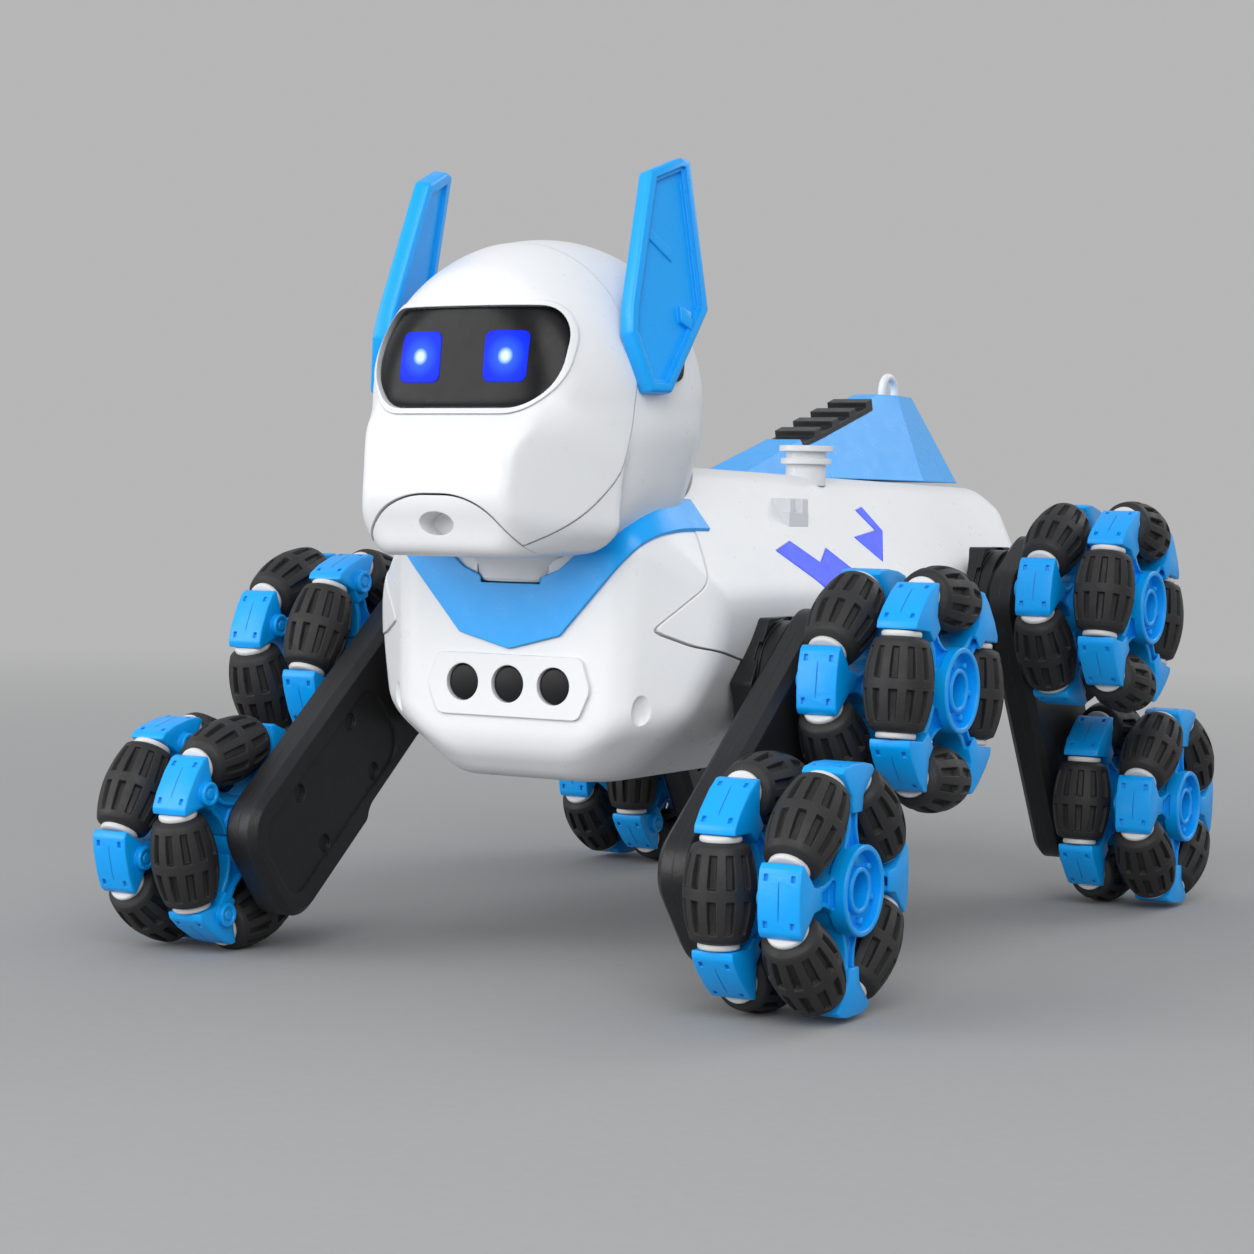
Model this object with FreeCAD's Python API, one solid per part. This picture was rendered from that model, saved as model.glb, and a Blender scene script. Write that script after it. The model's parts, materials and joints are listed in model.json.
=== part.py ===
import FreeCAD, Part
import os
from math import atan2, cos, degrees, hypot, pi, radians, sin, sqrt

# Eight-wheeled robot dog, in millimetres.  +Z is up, the dog faces -Y and its left is +X.
# Everything is drawn with Y = 0 midway between the lower axles.  save() then moves it so that
# the origin lies on the floor under the middle of the overall length.

V = FreeCAD.Vector
X_AXIS = V(1, 0, 0)
Y_AXIS = V(0, 1, 0)
Z_AXIS = V(0, 0, 1)
ORIGIN = V(0, 0, 0)

# ---- driving dimensions -------------------------------------------------------------------
wheel_radius = 32.5
wheel_base = 243.8
nose_reach = 56.1            # muzzle tip ahead of the front lower axle
tail_reach = 32.5            # rearmost point behind the rear lower axle: the rear lower wheel
front_hip_y = -64.1
front_hip_z = 78.5
rear_hip_y = 83.3
rear_hip_z = 96.9

# wheels
row_pitch = 19.6             # between the two rows of rollers on one wheel
hub_gap = 2.0                # leg to hub
roller_axis_radius = 23.4
roller_half = 12.2
roller_end_radius = 5.6
roller_end_chamfer = 1.0
washer_radius = 5.15
washer_thickness = 1.6
pin_radius = 1.7
pin_grip = 3.0               # how far each pin goes into its fork block
fork_face = 14.1             # fork face from the middle of the roller
fork_half_width = 9.1
fork_outer_radius = 30.4
fork_edge = 1.4
fork_thickness = 11.5
spoke_width = 5.6
spoke_thickness = 9.0
hub_radius = 11.3
hub_length = 35.6
hub_bore_radius = 4.5
hub_bore_depth = 14.4
hub_groove_inner = 6.4
hub_groove_outer = 9.6
hub_groove_depth = 1.5
axle_radius = 2.5
axle_bearing_depth = 1.2

# legs
leg_stand_off = 3.8          # hip plate to leg
leg_thickness = 10.6
leg_end = 16.5
leg_half_width = 19.8
leg_offset = -1.3
leg_notch = 2.4
leg_end_corner = 12.0
leg_edge = 2.0
leg_wall = 2.1
leg_panel_inset = 4.6
leg_panel_depth = 0.7
belt_width = 4.6
belt_thickness = 1.5
pulley_radius = 8.0
leg_screw_radius = 2.6
leg_screw_depth = 1.0

# hips
hip_boss_radius = 16.5
hip_shaft_radius = 4.0
hip_plate_rise = 2.8         # plate's face beyond the body's widest half width
hip_plate_radius = 20.0
hip_plate_root = 17.0        # how far each plate starts inside the flank
hip_plate_hole = 5.0
hip_groove_width = 1.0
hip_groove_depth = 1.2
motor_radius = 11.0
motor_inner_x = 10.0
motor_inset = 10.0           # motor's face from the body's widest half width
motor_neck_radius = 7.5
motor_neck_length = 6.0

# body
body_wall = 2.4
belly_z = 51.0
deck_rise = 6.0
back_z = 136.0
chest_y = -112.0
rump_y = 146.0
body_half = 55.0
collar_rise = 1.6
window_radius = 4.8
window_pitch = 13.8
window_above = 26.2          # windows above the belly
window_depth = 2.4
light_depth = 1.4
neck_behind = 17.0           # neck's axis behind the chest's front
neck_radius = 19.0
neck_sink = 41.6             # foot of the neck below the back
pedestal_radius = 8.0
spigot_radius = 5.0
spigot_length = 9.0

# head
head_lift = 19.0             # head's middle above the back
head_half = 42.0
head_wall = 2.2
face_ahead = 42.5            # flat of the face ahead of the neck
visor_below = 4.5            # visor's lower edge below the head's middle
visor_above = 19.0
visor_half = 31.0
visor_corner = 7.0
visor_depth = 1.2
eye_x = 13.0
eye_above = 7.3
eye_width = 10.6
eye_height = 12.4
eye_corner = 2.0
mouth_below = 37.0
mouth_half = 4.6
mouth_height = 5.0
ear_lean = 9.5               # degrees, top towards the middle plane
ear_thickness = 4.6
ear_stand_off = 2.6          # ear's foot from the head's widest half width
ear_foot_drop = 1.5          # ear's foot below the head's middle
ear_rim = 3.4
ear_recess = 1.3
ear_mount_radius = 6.5
ear_mount_root = 6.0         # how far each mount starts inside the head

# tail, cap, switch
tail_sink = 1.0
tail_height = 28.6
vent_half = 7.0
loop_radius = 5.0
loop_wire = 1.35
cap_x = 25.0
cap_y = 12.0
cap_radius = 8.0
cap_height = 8.0
switch_x = 37.0
switch_y = -22.0
switch_travel = 3.0

# insides
battery_size = (40.0, 66.0, 17.0)
battery_y = -5.0
door_gap = 0.2
board_size = (64.0, 96.0, 1.6)
board_y = 10.0
board_above = 41.0           # board above the deck
post_radius = 3.0
speaker_radius = 13.0
speaker_height = 9.0
speaker_y = 50.0
screw_radius = 1.5
screw_head_radius = 2.8
screw_head_height = 2.0
screw_length = 11.0

# clearances
running_gap = 0.05           # shaft in its bore
washer_gap = 0.09            # roller washer on its pin
moving_gap = 0.3             # between pieces that move past each other
seat_gap = 0.1               # between a lens or lid and its pocket

# ---- places that follow ---------------------------------------------------------------------
mid_y = (nose_reach - tail_reach) / 2
front_axle_y = -wheel_base / 2
rear_axle_y = wheel_base / 2
axle_z = wheel_radius
muzzle_y = front_axle_y - nose_reach
hip_plate_x = body_half + hip_plate_rise
leg_inner_x = hip_plate_x + leg_stand_off
leg_outer_x = leg_inner_x + leg_thickness
hub_inner_x = leg_outer_x + hub_gap
hub_outer_x = hub_inner_x + hub_length
wheel_mid_x = (hub_inner_x + hub_outer_x) / 2
motor_outer_x = body_half - motor_inset
motor_neck_end_x = motor_outer_x + motor_neck_length
deck_z = belly_z + deck_rise
board_z = deck_z + board_above
waist_z = 0.52 * belly_z + 0.48 * back_z
neck_y = chest_y + neck_behind
neck_bottom_z = back_z - neck_sink
face_y = neck_y - face_ahead
head_mid_z = back_z + head_lift
ear_foot_x = head_half + ear_stand_off
ear_foot_z = head_mid_z - ear_foot_drop
tail_base_z = back_z - tail_sink
tail_top_z = tail_base_z + tail_height
SIDES = {"left": 1, "right": -1}
ENDS = {"front": ((front_axle_y, axle_z), (front_hip_y, front_hip_z)),
        "rear": ((rear_axle_y, axle_z), (rear_hip_y, rear_hip_z))}
# how far each wheel stands turned, in radians; positive lifts its front
WHEEL_TURNS = {"front_left_lower": 0.0, "front_left_upper": pi / 4 + 0.096,
               "rear_left_upper": pi / 4 + 0.209, "rear_left_lower": 0.086,
               "front_right_lower": -0.244, "front_right_upper": 0.415,
               "rear_right_lower": 0.0, "rear_right_upper": 0.3}


# ---- helpers -----------------------------------------------------------------------------------
def save(name, shapes):
    """Writes one sub-part, moved so that the middle of the overall length is at Y = 0."""
    shapes = shapes if isinstance(shapes, list) else [shapes]
    solids = [solid for shape in shapes for solid in shape.Solids]
    whole = solids[0].copy() if len(solids) == 1 else Part.makeCompound(solids)
    whole.translate(V(0, mid_y, 0))
    whole.exportStep("parts/" + name + ".step")
    print(name, len(solids), round(whole.Volume), whole.isValid())


def box(x0, x1, y0, y1, z0, z1):
    low = V(min(x0, x1), min(y0, y1), min(z0, z1))
    return Part.makeBox(abs(x1 - x0), abs(y1 - y0), abs(z1 - z0), low)


def rod_x(x0, x1, y, z, radius):
    """Round bar along X from x0 to x1."""
    return Part.makeCylinder(radius, abs(x1 - x0), V(min(x0, x1), y, z), X_AXIS)


def rod_z(x, y, z0, z1, radius):
    return Part.makeCylinder(radius, z1 - z0, V(x, y, z0), Z_AXIS)


def round_corners(points, radius):
    """Closed wire through the points, each corner rounded by one tangent arc."""
    edges = []
    count = len(points)
    tangents = []
    for i in range(count):
        before, here, after = points[i - 1], points[i], points[(i + 1) % count]
        back = (before - here).normalize()
        ahead = (after - here).normalize()
        half_angle = back.getAngle(ahead) / 2
        reach = min(radius / abs(sin(half_angle) / cos(half_angle)),
                    0.45 * (before - here).Length, 0.45 * (after - here).Length)
        own_radius = reach * sin(half_angle) / cos(half_angle)
        centre = here + (back + ahead).normalize() * (own_radius / sin(half_angle))
        middle = centre + (here - centre).normalize() * own_radius
        tangents.append((here + back * reach, middle, here + ahead * reach))
    for i in range(count):
        start, middle, end = tangents[i]
        edges.append(Part.Arc(start, middle, end).toShape())
        edges.append(Part.LineSegment(end, tangents[(i + 1) % count][0]).toShape())
    return Part.Wire(edges)


def prism(points, along, radius=0):
    """Solid swept from a closed outline along a vector."""
    if radius:
        wire = round_corners(points, radius)
    else:
        wire = Part.makePolygon(points + [points[0]])
    return Part.Face(wire).extrude(along)


def side_prism(outline, x0, x1, radius=0):
    """Outline of (y, z) pairs, swept across X."""
    return prism([V(x0, y, z) for y, z in outline], V(x1 - x0, 0, 0), radius)


def front_prism(outline, y0, y1, radius=0):
    """Outline of (x, z) pairs, swept along Y."""
    return prism([V(x, y0, z) for x, z in outline], V(0, y1 - y0, 0), radius)


def oval_wire(y, low_z, mid_z, high_z, half, power):
    """Closed oval in a plane of constant Y: a superellipse whose middle is at mid_z."""
    steps = 24
    points = []
    for i in range(steps):
        angle = 2 * pi * (i + 0.5) / steps
        c, s = cos(angle), sin(angle)
        x = half * abs(c) ** (2 / power) * (1 if c > 0 else -1)
        rise = high_z - mid_z if s > 0 else low_z - mid_z
        points.append(V(x, y, mid_z + rise * abs(s) ** (2 / power)))
    curve = Part.BSplineCurve()
    curve.interpolate(points, PeriodicFlag=True)
    return Part.Wire(curve.toShape())


def oval_loft(stations, inset):
    """Solid through ovals at several stations, drawn in on every side by the inset."""
    wires = []
    for i, (y, low_z, mid_z, high_z, half, power) in enumerate(stations):
        shift = inset if i == 0 else -inset if i == len(stations) - 1 else 0
        wires.append(oval_wire(y + shift, low_z + inset, mid_z, high_z - inset, half - inset, power))
    return Part.makeLoft(wires, True, True)


def mirror_x(shape):
    return shape.mirror(ORIGIN, X_AXIS)


def both_sides(shape):
    return [shape, mirror_x(shape)]


# ---- wheels ------------------------------------------------------------------------------------
def wheel_direction(angle):
    """Unit vector in the wheel's plane: 0 points forward, a quarter turn points up."""
    return V(0, -cos(angle), sin(angle))


def on_wheel(shape, x, centre, angle):
    """Moves a shape drawn with +Y outward and +Z along the rim to an angle on a wheel."""
    out = wheel_direction(angle)
    along = X_AXIS.cross(out)
    moved = shape.copy()
    moved.Placement = FreeCAD.Placement(
        FreeCAD.Matrix(1, out.x, along.x, x, 0, out.y, along.y, centre[0],
                       0, out.z, along.z, centre[1], 0, 0, 0, 1))
    return moved


def roller_barrel():
    """Rubber barrel whose outline lies on the wheel's own circle, about the Z axis at +Y."""
    end = roller_half - roller_end_chamfer

    def reach(along):
        return sqrt(wheel_radius ** 2 - along ** 2)

    axis_y = roller_axis_radius
    bore = axis_y + pin_radius + running_gap
    crown = Part.Arc(V(0, reach(end), -end), V(0, wheel_radius, 0), V(0, reach(end), end))
    top = Part.makePolygon([V(0, reach(end), end), V(0, axis_y + roller_end_radius, roller_half),
                            V(0, bore, roller_half), V(0, bore, -roller_half),
                            V(0, axis_y + roller_end_radius, -roller_half), V(0, reach(end), -end)])
    outline = Part.Wire([crown.toShape()] + top.Edges)
    return Part.Face(outline).revolve(V(0, axis_y, 0), Z_AXIS, 360)


def roller_washer(side):
    foot = V(0, roller_axis_radius, side * roller_half)
    direction = Z_AXIS * side
    disc = Part.makeCylinder(washer_radius, washer_thickness, foot, direction)
    hole = Part.makeCylinder(pin_radius + washer_gap, washer_thickness, foot, direction)
    return disc.cut(hole)


def roller_pin():
    half = fork_face + pin_grip
    return Part.makeCylinder(pin_radius, 2 * half, V(0, roller_axis_radius, -half), Z_AXIS)


def fork_and_spoke():
    """Spoke and the fork block at its end, drawn along +Y."""
    neck = spoke_width / 2
    apex = fork_face * sqrt(2)
    flank = apex + fork_half_width
    outline = [(0, -neck), (apex + neck, -neck), (flank, -fork_half_width),
               (fork_outer_radius, -fork_half_width + fork_edge)]
    outline += [(r, -s) for r, s in reversed(outline)]
    points = [V(-fork_thickness / 2, r, s) for r, s in outline]
    block = prism(points, V(fork_thickness, 0, 0))
    inner = box(-fork_thickness / 2, fork_thickness / 2, 0, apex + 1, -neck, neck)
    spoke = box(-spoke_thickness / 2, spoke_thickness / 2, 0, apex + 2, -neck, neck)
    return block.cut(inner).fuse(spoke)


def wheel_rows(side):
    """The two rows: place of each along X, and the angle that it is turned by."""
    return [(side * (wheel_mid_x + row_pitch / 2), 0.0), (side * (wheel_mid_x - row_pitch / 2), pi / 4)]


def wheel_angles(side, turn):
    """Row place and angle of every fork; each roller is an eighth of a turn further on."""
    return [(x, turn + offset + k * pi / 2) for x, offset in wheel_rows(side) for k in range(4)]


def make_rollers(side, centre, turn):
    """Eight rollers, each a barrel with its two end washers."""
    parts = [roller_barrel(), roller_washer(1), roller_washer(-1)]
    return [[on_wheel(part, x, centre, angle + pi / 4) for part in parts]
            for x, angle in wheel_angles(side, turn)]


def make_hub(side, centre, turn):
    """Spoked hub with the pins of its rollers, and the axle with its belt pulley."""
    y, z = centre
    spoke = fork_and_spoke()
    pin = roller_pin()
    hub = rod_x(side * hub_inner_x, side * hub_outer_x, y, z, hub_radius)
    spokes = [on_wheel(spoke, x, centre, angle) for x, angle in wheel_angles(side, turn)]
    pins = [on_wheel(pin, x, centre, angle + pi / 4) for x, angle in wheel_angles(side, turn)]
    hub = hub.multiFuse(spokes)
    groove = rod_x(side * (hub_outer_x - hub_groove_depth), side * hub_outer_x, y, z, hub_groove_outer)
    groove = groove.cut(rod_x(side * (hub_outer_x - hub_groove_depth), side * hub_outer_x, y, z,
                              hub_groove_inner))
    bore_foot = side * (hub_outer_x - hub_bore_depth)
    bore = rod_x(bore_foot, side * hub_outer_x, y, z, hub_bore_radius)
    shaft_hole = rod_x(side * hub_inner_x, bore_foot, y, z, axle_radius)
    hub = hub.cut([groove, bore, shaft_hole] + pins)
    axle = rod_x(side * (leg_inner_x + leg_wall - axle_bearing_depth + moving_gap), bore_foot, y, z, axle_radius)
    middle = leg_inner_x + leg_thickness / 2
    pulley = rod_x(side * (middle - belt_width / 2), side * (middle + belt_width / 2), y, z, pulley_radius)
    return [hub, axle.fuse(pulley)] + pins


# ---- legs ----------------------------------------------------------------------------------------
def leg_frame(end):
    """Lower axle, unit vector up the leg, unit vector across it, and its length."""
    (low_y, low_z), (top_y, top_z) = ENDS[end]
    length = hypot(top_y - low_y, top_z - low_z)
    up = ((top_y - low_y) / length, (top_z - low_z) / length)
    return (low_y, low_z), up, (-up[1], up[0]), length


def leg_points(end, pairs):
    """Turns (along, across) pairs on a leg into (y, z) pairs."""
    (y, z), up, across, length = leg_frame(end)
    return [(y + u * up[0] + n * across[0], z + u * up[1] + n * across[1]) for u, n in pairs]


def leg_outline(end, inset):
    """Plate outline with shallow steps along its rear edge."""
    length = leg_frame(end)[3]
    front = leg_offset + leg_half_width - inset
    rear = leg_offset - leg_half_width + inset
    low = -leg_end + inset
    high = length + leg_end - inset
    step = rear + leg_notch
    return leg_points(end, [(low, rear), (low, front), (high, front), (high, rear),
                            (0.9 * length, rear), (0.86 * length, step),
                            (0.42 * length, step), (0.38 * length, rear)])


def leg_panel_outline(end):
    """Sunk panel of the inner face, which ends short of the hip boss."""
    reach = leg_half_width - leg_notch - leg_panel_inset
    high = leg_frame(end)[3] - hip_boss_radius - leg_panel_inset
    low = -leg_end + leg_panel_inset
    return leg_points(end, [(low, leg_offset - reach), (low, leg_offset + reach),
                            (high, leg_offset + reach), (high, leg_offset - reach)])


def leg_hull(end, side):
    """Outer form of a leg: the plate with a chamfer round both faces."""
    plate = side_prism(leg_outline(end, 0), side * leg_inner_x, side * leg_outer_x, leg_end_corner)
    faces = (side * leg_inner_x, side * leg_outer_x)
    edges = [edge for edge in plate.Edges
             if any(all(abs(vertex.X - x) < 1e-6 for vertex in edge.Vertexes) for x in faces)]
    return plate.makeChamfer(leg_edge, edges)


def belt_path(end, side, radius, half_width):
    """Round-ended bar that follows the belt, from the lower to the upper axle."""
    (low_y, low_z), up, across, length = leg_frame(end)
    middle = leg_inner_x + leg_thickness / 2
    x0, x1 = side * (middle - half_width), side * (middle + half_width)
    corners = leg_points(end, [(0, -radius), (0, radius), (length, radius), (length, -radius)])
    ends = [rod_x(x0, x1, y, z, radius) for y, z in ENDS[end]]
    return side_prism(corners, x0, x1).multiFuse(ends)


def make_belt(end, side):
    inner = pulley_radius + seat_gap
    half = belt_width / 2
    return belt_path(end, side, inner + belt_thickness, half).cut(belt_path(end, side, inner, half))


def leg_screw_places(end):
    length = leg_frame(end)[3]
    return leg_points(end, [(u * length, leg_offset + n) for u in (0.12, 0.52) for n in (-9.5, 9.5)])


def make_leg_shells(end, side):
    """Inner and outer half of one leg, with a sealed space for the belt between them."""
    hull = leg_hull(end, side)
    seam = side * (leg_inner_x + leg_thickness / 2)
    space = belt_path(end, side, pulley_radius + belt_thickness + 1.5, leg_thickness / 2 - leg_wall)
    half_space = box(side * (leg_inner_x - 5), seam, -400, 400, -100, 300)
    inner = hull.common(half_space).cut(space)
    outer = hull.cut(half_space).cut(space)
    hip_y, hip_z = ENDS[end][1]
    boss = rod_x(side * (hip_plate_x + moving_gap), side * leg_inner_x, hip_y, hip_z, hip_boss_radius)
    shaft = rod_x(side * (motor_outer_x + 2), side * leg_inner_x, hip_y, hip_z, hip_shaft_radius)
    inner = inner.multiFuse([boss, shaft])
    panel = side_prism(leg_panel_outline(end), side * leg_inner_x, side * (leg_inner_x + leg_panel_depth),
                       leg_end_corner - leg_panel_inset)
    pockets = [rod_x(side * leg_inner_x, side * (leg_inner_x + leg_panel_depth + leg_screw_depth), y, z,
                     leg_screw_radius) for y, z in leg_screw_places(end)]
    bearing_x = leg_inner_x + leg_wall - axle_bearing_depth
    bearings = [rod_x(side * bearing_x, side * (leg_inner_x + leg_wall), y, z, axle_radius + running_gap)
                for y, z in ENDS[end]]
    inner = inner.cut([panel] + pockets + bearings)
    bores = [rod_x(seam, side * leg_outer_x, y, z, axle_radius + running_gap) for y, z in ENDS[end]]
    return inner, outer.cut(bores)


# ---- body -----------------------------------------------------------------------------------------
def body_stations():
    """Y, lowest, middle and highest Z, half width and squareness of each oval of the body."""
    return [(chest_y, belly_z + 6.0, waist_z, back_z - 32.0, body_half - 24.0, 3.0),
            (chest_y + 8.0, belly_z + 2.5, waist_z, back_z - 23.0, body_half - 13.0, 3.0),
            (chest_y + 20.0, belly_z + 1.0, waist_z, back_z - 13.0, body_half - 5.0, 3.0),
            (chest_y + 36.0, belly_z, waist_z, back_z - 6.0, body_half - 1.0, 3.0),
            (chest_y + 62.0, belly_z, waist_z, back_z - 1.5, body_half, 3.2),
            (chest_y + 112.0, belly_z, waist_z, back_z, body_half - 1.0, 3.4),
            (rump_y - 86.0, belly_z + 1.0, waist_z, back_z, body_half - 1.0, 3.4),
            (rump_y - 46.0, belly_z + 4.0, waist_z, back_z, body_half - 1.0, 3.2),
            (rump_y - 16.0, belly_z + 11.0, waist_z, back_z - 1.5, body_half - 9.0, 3.0),
            (rump_y, belly_z + 23.0, waist_z, back_z - 10.0, body_half - 23.0, 2.6)]


def head_bowl(grow):
    """Round hollow that the head turns in, about the neck's axis."""
    profile = [(0, -43.5), (20, -43.5), (33, -39), (39, -34), (44, -27), (47, -19), (48, -5)]
    points = [V(r + (grow if r else 0), 0, head_mid_z + z - grow) for r, z in profile]
    points += [V(profile[-1][0] + grow, 0, head_mid_z), V(0, 0, head_mid_z)]
    face = Part.Face(Part.makePolygon(points + [points[0]]))
    bowl = face.revolve(ORIGIN, Z_AXIS, 360)
    bowl.translate(V(0, neck_y, 0))
    return bowl


def lower_shell_region():
    """Side view of what belongs to the chest and belly shell."""
    low, high = belly_z - 20, back_z + 14
    hip_y, hip_z = ENDS["front"][1]
    outline = [(chest_y - 18, low), (chest_y - 18, high), (chest_y + 11, high), (chest_y + 7, waist_z),
               (hip_y - 16, hip_z + 5), (hip_y - 14, hip_z - 4.5), (rump_y - 126, belly_z + 23),
               (rump_y - 86, belly_z + 29), (rump_y + 14, belly_z + 29), (rump_y + 14, low)]
    return side_prism(outline, -body_half - 10, body_half + 10)


def window_places():
    return [(i * window_pitch, belly_z + window_above) for i in (-1, 0, 1)]


def window_discs(radius, depth, front):
    return [Part.makeCylinder(radius, depth, V(x, front, z), Y_AXIS) for x, z in window_places()]


def light_outlines():
    """Side view of the two lights on each flank."""
    front = [(-46.7, -22.6), (-34, -20), (-24, -26), (-14, -22), (-6, -28), (-27, -35.5)]
    rear = [(10, -19), (28, -17), (24, -11), (30, -10), (33, -17), (18, -26)]
    return [[(y, back_z + z) for y, z in outline] for outline in (front, rear)]


def motor_solids(side, grow):
    """Geared motor of each hip on one side, without its bore."""
    found = []
    for _, (y, z) in ENDS.values():
        can = rod_x(side * motor_inner_x, side * (motor_outer_x + grow), y, z, motor_radius + grow)
        neck = rod_x(side * motor_outer_x, side * (motor_neck_end_x + 8 * grow), y, z, motor_neck_radius + grow)
        found.append(can.fuse(neck))
    return found


def make_motors():
    motors = []
    for side in SIDES.values():
        for (_, (y, z)), motor in zip(ENDS.values(), motor_solids(side, 0)):
            bore = rod_x(side * (motor_outer_x + 1), side * (motor_neck_end_x + 1), y, z,
                         hip_shaft_radius + running_gap)
            motors.append(motor.cut(bore))
    return motors


def battery_box(grow, top):
    wide, long, tall = battery_size
    return box(-wide / 2 - grow, wide / 2 + grow, battery_y - long / 2 - grow, battery_y + long / 2 + grow,
               belly_z - 5, top)


def board_posts():
    wide, long, _ = board_size
    return [(sx * (wide / 2 - 4), board_y + sy * (long / 2 - 4)) for sx in (-1, 1) for sy in (-1, 1)]


def screw_places():
    return [(sx * 14.0, y) for sx in (-1, 1) for y in (-82.0, 72.0)]


def screw(x, y, gap):
    head = rod_z(x, y, belly_z - 1, belly_z + 2 + screw_head_height, screw_head_radius + gap)
    shank = rod_z(x, y, belly_z + 2, belly_z + 2 + screw_length, screw_radius + gap)
    return head.fuse(shank)


def make_body():
    """Both body shells and every piece that is fixed in or on them."""
    outer = oval_loft(body_stations(), 0)
    form = outer.cut(head_bowl(0))
    hollow = oval_loft(body_stations(), body_wall).cut(head_bowl(body_wall))
    wall = form.cut(hollow)
    neck_hole = rod_z(0, neck_y, neck_bottom_z - 2, back_z, neck_radius + moving_gap)
    motors = motor_solids(1, moving_gap) + motor_solids(-1, moving_gap)
    shaft_holes = []
    for side in SIDES.values():
        for _, (y, z) in ENDS.values():
            shaft_holes.append(rod_x(side * motor_outer_x, side * hip_plate_x, y, z,
                                     motor_neck_radius + moving_gap))
    wall = wall.cut([neck_hole] + shaft_holes)
    region = lower_shell_region()
    deck = box(-body_half, body_half, chest_y + 12, rump_y - 16, belly_z - 5, deck_z).common(outer)
    posts = [rod_z(x, y, deck_z - 1, board_z, post_radius) for x, y in board_posts()]
    pedestal = rod_z(0, neck_y, deck_z - 1, neck_bottom_z - moving_gap, pedestal_radius)
    spigot = rod_z(0, neck_y, neck_bottom_z - 1, neck_bottom_z + spigot_length, spigot_radius)
    lower = wall.common(region).multiFuse([deck, pedestal, spigot] + posts)
    front = body_stations()[0][0]
    windows = window_discs(window_radius, window_depth + 1, front - 0.5)
    screws = [screw(x, y, 0) for x, y in screw_places()]
    lower = lower.cut(motors + windows + screws + [battery_box(door_gap, deck_z + 5)])
    upper = wall.cut(region).cut(motors)

    lights = []
    light_skin = outer.cut(oval_loft(body_stations(), light_depth))
    for outline in light_outlines():
        light = light_skin.common(side_prism(outline, body_half / 2, body_half + 10))
        lights += both_sides(light)
    tail_foot = tail_cover_form(0)
    upper = upper.cut(lights + [tail_foot, cap_hole(), switch_slot()])

    save("body_upper_shell", upper)
    save("body_lower_shell", lower)
    save("side_lights", lights)
    save("shell_screws", [s.common(outer) for s in screws])
    save("chest_windows", window_discs(window_radius, window_depth, front + 0.4))
    save("chest_collar", make_collar(outer))
    save("hip_plates", make_hip_plates(outer))
    save("battery_door", outer.common(battery_box(0, belly_z + 3)))
    save("battery_pack", battery_box(-1.0, belly_z + 3 + battery_size[2]).cut(
        box(-90, 90, -200, 200, belly_z - 20, belly_z + 3)))


def make_collar(outer):
    """Bib on top of the chest: a layer over the body, cut to a V below and round the neck above."""
    grown = oval_loft(body_stations(), -collar_rise)
    layer = grown.cut(outer)
    half = [(15.6, -45.0), (31, -32), (50, -19), (50, 10)]
    outline = [(0, -49.3)] + half + [(-x, z) for x, z in reversed(half)]
    bib = front_prism([(x, back_z + z) for x, z in outline], chest_y - 18, chest_y + 28)
    neckline = [(-14, -32), (14, -32), (34, -12), (34, 14), (-34, 14), (-34, -12)]
    hole = front_prism([(x, back_z + z) for x, z in neckline], chest_y - 18, neck_y, 8)
    hollow = rod_z(0, neck_y, neck_bottom_z, back_z, neck_radius + moving_gap)
    return layer.common(bib).cut([hole, head_bowl(moving_gap), hollow])


def make_hip_plates(outer):
    """Hexagonal plates that carry the hips out to one flat plane on each side."""
    plates = []
    for _, (y, z) in ENDS.values():
        corners = [(y + hip_plate_radius * cos(radians(60 * k)), z + hip_plate_radius * sin(radians(60 * k)))
                   for k in range(6)]
        plate = side_prism(corners, body_half - hip_plate_root, hip_plate_x, 2.0)
        plate = plate.cut([rod_x(0, hip_plate_x, y, z, hip_plate_hole)])
        groove = rod_x(hip_plate_x - hip_groove_depth, hip_plate_x, y, z, hip_boss_radius + hip_groove_width)
        groove = groove.cut(rod_x(0, hip_plate_x, y, z, hip_boss_radius))
        plates += [side.cut(outer) for side in both_sides(plate.cut(groove))]
    return plates


def make_insides():
    wide, long, thick = board_size
    board = box(-wide / 2, wide / 2, board_y - long / 2, board_y + long / 2, board_z, board_z + thick)
    chip = box(-7, 7, board_y - 7, board_y + 7, board_z + thick, board_z + thick + 2)
    plug = box(-12, -2, board_y + 30, board_y + 38, board_z + thick, board_z + thick + 6)
    save("circuit_board", board.multiFuse([chip, plug]))
    cone = Part.makeCone(speaker_radius * 0.7, speaker_radius * 0.2, 3, V(0, speaker_y, deck_z + speaker_height),
                         Z_AXIS * -1)
    save("speaker", rod_z(0, speaker_y, deck_z, deck_z + speaker_height, speaker_radius).cut(cone))
    save("hip_motors", make_motors())


# ---- tail cover, cap, switch ------------------------------------------------------------------------
def tail_cover_form(grow):
    """Wedge on the back: a long base that rises to a short ridge near its rear end."""
    base = [(-7, 4), (7, 4), (19, 112), (16, 147), (-16, 147), (-19, 112)]
    ridge = [(-4, 106), (4, 106), (7, 116), (5, 132), (-5, 132), (-7, 116)]
    low = Part.makePolygon([V(x, y, tail_base_z) for x, y in base + base[:1]])
    high = Part.makePolygon([V(x, y, tail_top_z) for x, y in ridge + ridge[:1]])
    return Part.makeLoft([low, high], True, True)


def vent_slope():
    """Angle of the wedge's front slope, and the point where it starts."""
    return atan2(tail_top_z - tail_base_z, 106 - 4), 4


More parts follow.
